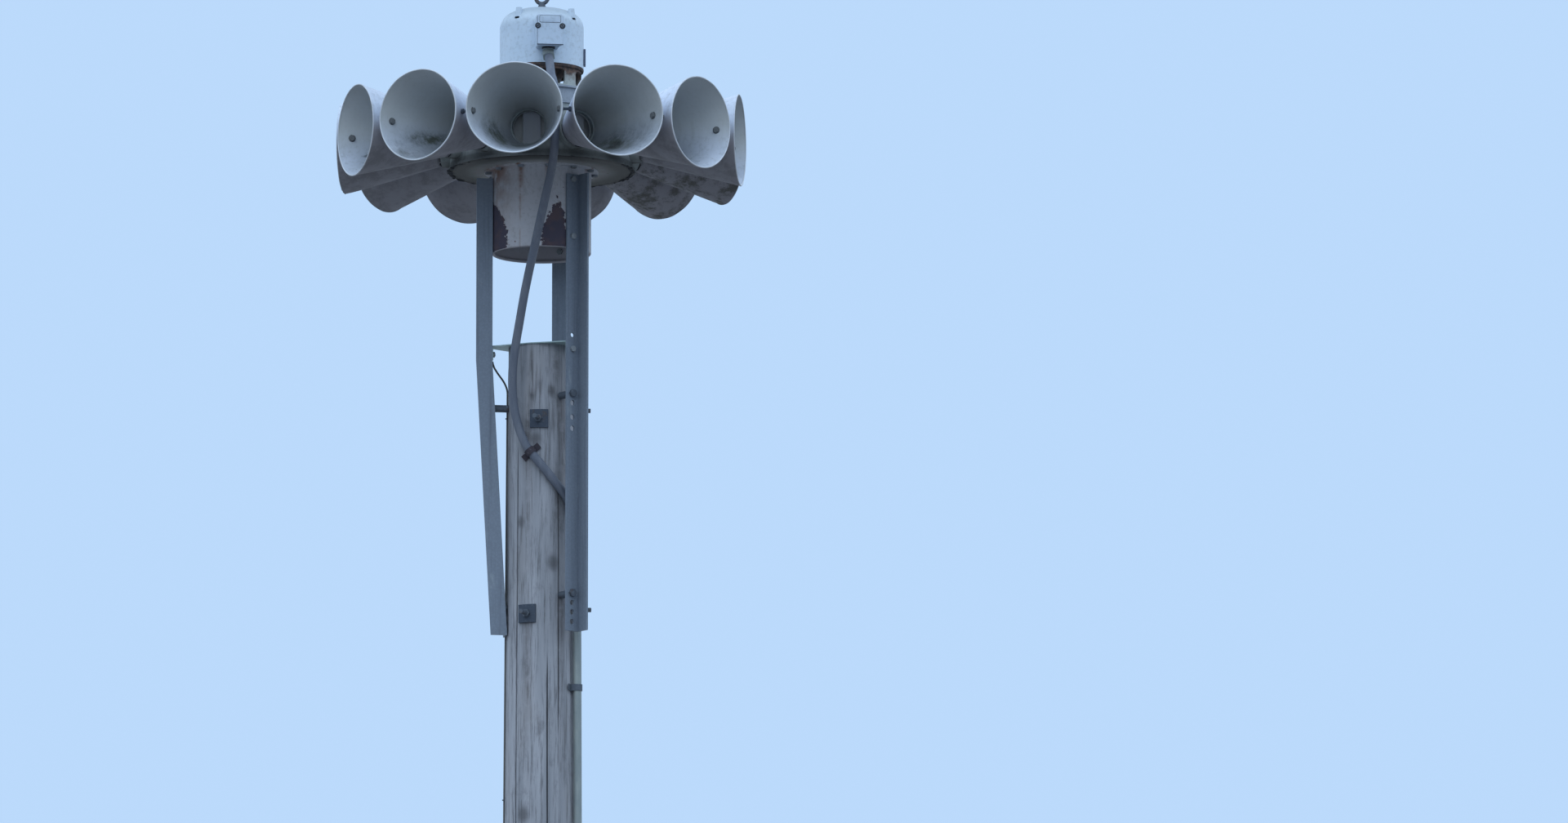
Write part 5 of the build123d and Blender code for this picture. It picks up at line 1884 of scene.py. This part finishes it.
@dataclass
class TerminalBoxTrim:
    """Trim of the terminal box.

    Slotted cover screws in sunk rings, their slots dark bars of painted shade, a bare plate with its border,
    painted shade lines at the cover's foot and left edge, and the dark lock ring of the conduit's fitting,
    partly painted shadow.
    """

    paint: bpy.types.Material
    steel: bpy.types.Material
    dirt: bpy.types.Material
    shade: bpy.types.Material
    bell_top: float
    cover_foot: float
    azimuth: float = 15.0
    face_distance: float = 0.208
    screw_drop: float = 0.0804
    screw_across: float = 0.0385
    ring_radius: float = 0.0092
    ring_height: float = 0.0016
    screw_radius: float = 0.0058
    screw_height: float = 0.0030
    slot_length: float = 0.00986
    slot_width: float = 0.0018
    slot_turns: tuple[float, float] = (35.0, -50.0)
    plate_drop: float = 0.059
    plate_width: float = 0.065
    plate_tall: float = 0.021
    plate_thickness: float = 0.0008
    plate_border: float = 0.0010
    plate_corners: float = 0.22
    lift: float = 0.0001
    line_corners: float = 0.3
    foot_line: tuple[float, float] = (0.0832, 0.0036)
    foot_line_rise: float = 0.00356
    side_line: tuple[float, float] = (0.0013, 0.090)
    side_line_across: float = -0.0401
    side_line_rise: float = 0.050
    fitting_distance: float = 0.1655
    lock_ring_radius: float = 0.0205
    lock_ring_top: float = 0.0029
    lock_ring_height: float = 0.0055

    def on_face(
        self, outline: np.ndarray, low: float, high: float, across: float, level: float
    ) -> np.ndarray:
        """Slab on the cover's face.

        Args:
            outline: Pairs (across, up).
            low: Distance of its back from the face.
            high: Distance of its front.
            across: Place of its middle across the cover.
            level: Height of its middle.

        Returns:
            Grid of points.
        """
        middle = outward(self.azimuth) * self.face_distance + around(self.azimuth) * across + UP * level
        return slab(outline, middle, self.azimuth, low, high)

    def build_screws(self) -> None:
        """Two screws, each a sunk ring, a head and a slot drawn as a dark bar of painted shade."""
        rings = Shape("terminal_cover_screw_rings")
        screws = Shape("terminal_cover_screws")
        slots = Shape("terminal_cover_screw_slots")
        level = self.bell_top - self.screw_drop
        ring = blunt_outline(2 * self.ring_radius, 2 * self.ring_radius, 1.0, 32)
        head = blunt_outline(2 * self.screw_radius, 2 * self.screw_radius, 1.0, 32)
        slot_top = self.screw_height + 2 * self.lift
        for side, turn in zip((-1.0, 1.0), self.slot_turns):
            across = side * self.screw_across
            rings.add(self.on_face(ring, self.lift, self.ring_height, across, level))
            screws.add(self.on_face(head, self.ring_height, self.screw_height, across, level))
            # Painted shade: a dark bar laid on each head stands for the slot's hollow.
            angle = math.radians(turn)
            spin = np.array([[math.cos(angle), math.sin(angle)], [-math.sin(angle), math.cos(angle)]])
            bar = blunt_outline(self.slot_length, self.slot_width, 0.1, 24) @ spin
            slots.add(self.on_face(bar, self.screw_height, slot_top, across, level))
        rings.build(self.dirt, "bolt_steel")
        screws.build(self.steel, "bolt_steel")
        slots.build(self.dirt, "bolt_steel")

    def build_plate(self) -> None:
        """The bare plate, over a border that shows around it."""
        level = self.bell_top - self.plate_drop
        margin = 2 * self.plate_border
        border = blunt_outline(self.plate_width + margin, self.plate_tall + margin, self.plate_corners)
        edge = Shape("terminal_cover_plate_edge")
        edge.add(self.on_face(border, self.lift, 3 * self.lift, 0.0, level))
        edge.build(self.dirt, "rusty_iron")
        outline = blunt_outline(self.plate_width, self.plate_tall, self.plate_corners)
        plate = Shape("terminal_cover_bare_plate")
        plate.add(self.on_face(outline, 4 * self.lift, self.plate_thickness, 0.0, level))
        plate.build(self.paint, "motor_paint")

    def build_edges(self) -> None:
        """Painted shade lines along the cover's foot and left edge, and the dark ring above the fitting,
        partly painted shadow.
        """
        # Painted shade: thin dark strips at the cover's foot and left edge.
        lines = Shape("terminal_cover_edge_shade")
        for size, across, rise in (
            (self.foot_line, 0.0, self.foot_line_rise),
            (self.side_line, self.side_line_across, self.side_line_rise),
        ):
            outline = blunt_outline(*size, self.line_corners)
            lines.add(self.on_face(outline, self.lift, 4 * self.lift, across, self.cover_foot + rise))
        lines.build(self.shade, "motor_paint")
        # Partly a lock ring, partly painted shadow: a dark collar under the box, on top of the fitting.
        profile = capped((-self.lock_ring_height, self.lock_ring_radius), (0.0, self.lock_ring_radius))
        middle = outward(self.azimuth) * self.fitting_distance + UP * (self.cover_foot + self.lock_ring_top)
        ring = Shape("terminal_box_lock_ring").add(turned(profile, 40, middle, UP, around(self.azimuth)))
        ring.build(self.dirt, "bolt_steel")

    def build(self) -> None:
        """Makes the trim."""
        self.build_screws()
        self.build_plate()
        self.build_edges()


@dataclass
class MotorTrim:
    """Dark pieces in the end bell's vents as painted shade, and the rust that hangs from the motor's foot."""

    dirt: bpy.types.Material
    rust: bpy.types.Material
    foot: float
    bell_top: float
    vent_drop: float = 0.033
    vent_distance: float = 0.1215
    vent_length: float = 0.0175
    vent_height: float = 0.0060
    vent_depth: float = 0.001
    vent_azimuth: float = -30.0
    vent_count: int = 4
    flange_radius: float = 0.1285
    flange_thickness: float = 0.008
    scale_thickness: float = 0.0012
    scale_reach: float = 0.0035
    scale_columns: int = 220
    scale_rows: int = 12

    def build(self) -> None:
        """Makes the painted shade in the vents, and a scaly band: a ring pushed in and out by waves."""
        # Painted shade: a dark piece just inside each vent.
        vent_shades = Shape("motor_vent_shades")
        pairs = blunt_outline(self.vent_length, self.vent_height, 0.5, 32)
        for azimuth in azimuths(self.vent_count, self.vent_azimuth):
            middle = outward(azimuth) * self.vent_distance + UP * (self.bell_top - self.vent_drop)
            vent_shades.add(slab(pairs, middle, azimuth, 0.0, self.vent_depth, SQUARE_EDGED))
        vent_shades.build(self.dirt, "rusty_iron")
        turn = ring_angles(self.scale_columns)[None, :]
        section = ring_angles(self.scale_rows)[:, None]
        scale = ripples(61, 7, 2.2 * np.sin(turn), 2.2 * np.cos(turn), 0.4 * np.cos(section))
        thick = self.scale_thickness * (2.0 + scale)
        reach = self.flange_radius + thick * np.cos(section)
        height = self.foot - self.flange_thickness / 2 + (self.scale_reach + thick) * np.sin(section)
        grid = np.stack((reach * np.sin(turn), -reach * np.cos(turn), height), axis=-1)
        band = Shape("motor_foot_scale").add(grid, closed_rows=True)
        band.build(self.rust, "rusty_iron", sharp=60.0)


@dataclass
class OldSealant:
    """Cracked sealant and grime at the base plate's rim and where the horns' necks go in."""

    finish: bpy.types.Material
    rim_height: float
    plane: float
    rim_radius: float = 0.292
    rim_inset: float = 0.012
    rim_sizes: tuple[float, float] = (0.002, 0.0045)
    long_shares: tuple[float, float] = (1.5, 4.0)
    tall_shares: tuple[float, float] = (0.35, 0.8)
    neck_radius: float = 0.0605
    neck_reach: tuple[float, float] = (0.302, 0.318)
    neck_sizes: tuple[float, float] = (0.0016, 0.0038)
    neck_lean: float = 26.0
    neck_shares: tuple[float, float] = (2.6, 0.6)
    neck_count: int = 12
    neck_lumps: int = 9
    unevenness: float = 0.45
    ball_rows: int = 9
    ball_columns: int = 12
    draw_seed: int = 41
    wave_seeds: int = 9973
    spreads: tuple[tuple[float, float, int], ...] = (
        (-88.0, 17.0, 44), (98.0, 15.0, 38), (10.0, 75.0, 14), (-170.0, 60.0, 16),
    )

    def lump(self, seed: int, middle: np.ndarray, *axes: np.ndarray) -> np.ndarray:
        """Squashed ball: middle + an uneven unit ball's x, y and z times three half axes.

        Args:
            seed: Seed of the waves that push the ball in and out.
            middle: The ball's middle.
            axes: Its three half axes.

        Returns:
            Grid of points.
        """
        polar = np.linspace(0.0, math.pi, self.ball_rows)[:, None]
        turn = ring_angles(self.ball_columns)[None, :]
        ball = np.stack(
            (np.sin(polar) * np.cos(turn), np.sin(polar) * np.sin(turn), np.cos(polar) + 0.0 * turn), axis=-1
        )
        swell = 1.0 + self.unevenness * ripples(seed, 5, *np.moveaxis(ball, -1, 0))
        return middle + (ball * swell[..., None]) @ np.array(axes)

    def build(self) -> None:
        """Makes the lumps, drawn one after another from one seed."""
        draws = np.random.default_rng(self.draw_seed)
        lumps = Shape("rim_sealant")
        for middle, spread, count in self.spreads:
            for azimuth in draws.normal(middle, spread, count):
                size = draws.uniform(*self.rim_sizes)
                seed = int(draws.integers(1, self.wave_seeds))
                long = size * draws.uniform(*self.long_shares)
                tall = size * draws.uniform(*self.tall_shares)
                place = outward(azimuth) * (self.rim_radius - draws.uniform(0.0, self.rim_inset))
                place = place + UP * (self.rim_height - 0.1 * tall)
                lumps.add(self.lump(seed, place, long * around(azimuth), size * outward(azimuth), tall * UP))
        for azimuth in azimuths(self.neck_count):
            for _ in range(self.neck_lumps):
                size = draws.uniform(*self.neck_sizes)
                lean = math.radians(draws.normal(0.0, self.neck_lean))
                reach = draws.uniform(*self.neck_reach)
                seed = int(draws.integers(1, self.wave_seeds))
                down = math.sin(lean) * around(azimuth) - math.cos(lean) * UP
                beside = np.cross(down, outward(azimuth))
                place = self.plane * UP + reach * outward(azimuth) + self.neck_radius * down
                long, tall = (share * size for share in self.neck_shares)
                lumps.add(self.lump(seed, place, long * beside, size * outward(azimuth), tall * down))
        lumps.build(self.finish, "rusty_iron", sharp=80.0)


def dress_frame(finishes: dict[Finish, bpy.types.Material]) -> None:
    """Gives each CAD node the finish of its material slot, or one of its own.

    Args:
        finishes: The materials, by finish.
    """
    for row in frame["record"]["subparts"]:
        node = frame["nodes"][row["node"]]
        node.data.materials.clear()
        finish = NODE_FINISHES.get(row["node"], Finish(row["material_slot"]))
        node.data.materials.append(finishes[finish])


def main() -> None:
    """Builds the studio, the camera and the part's looks, in order."""
    logging.basicConfig(level=logging.INFO, format="%(name)s: %(message)s")
    bpy.context.scene.view_settings.view_transform = "Standard"
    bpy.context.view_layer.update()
    finishes = {finish: recipe.build(finish.value) for finish, recipe in RECIPES.items()}
    dress_frame(finishes)
    log.info("dressed %d nodes", len(frame["nodes"]))

    stator_low, stator_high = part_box("stator_ring")
    horn_plane = (stator_low.z + stator_high.z) / 2
    Studio().build()
    Viewpoint(centre=(0.0, 0.0, horn_plane)).build()

    horns = HornRing(finishes[Finish.HORN_PAINT], plane=horn_plane)
    horns.build()
    drum_low, drum_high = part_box("intake_drum")
    IntakeDrum(finishes[Finish.DRUM_PAINT], foot=drum_low.z, top=drum_high.z).build()
    WoodPole(finishes[Finish.POLE_WOOD], height=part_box("pole")[1].z).build()

    # The dirt material is real grime on the sealant and painted shade on the vent pieces, screw slots and
    # lock ring.
    dirt, dark_steel = finishes[Finish.DIRT_AND_SHADE], finishes[Finish.DARK_STEEL]
    HornLinks(dark_steel, finishes[Finish.LINK_HEAD], horns).build()
    RotorScoops(finishes[Finish.ROTOR_CASTING], plane=horn_plane).build()
    bell_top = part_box("motor_end_bell")[1].z - BELL_CROWN
    MotorTrim(dirt, finishes[Finish.RUSTY_IRON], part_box("motor_body")[0].z, bell_top).build()
    TerminalBoxTrim(
        finishes[Finish.COVER_PAINT_SHADED], finishes[Finish.BOLT_STEEL], dirt, dark_steel,
        bell_top=bell_top, cover_foot=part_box("terminal_box_cover")[0].z,
    ).build()
    OldSealant(dirt, rim_height=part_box("base_plate")[0].z, plane=horn_plane).build()


if __name__ == "__main__":
    main()
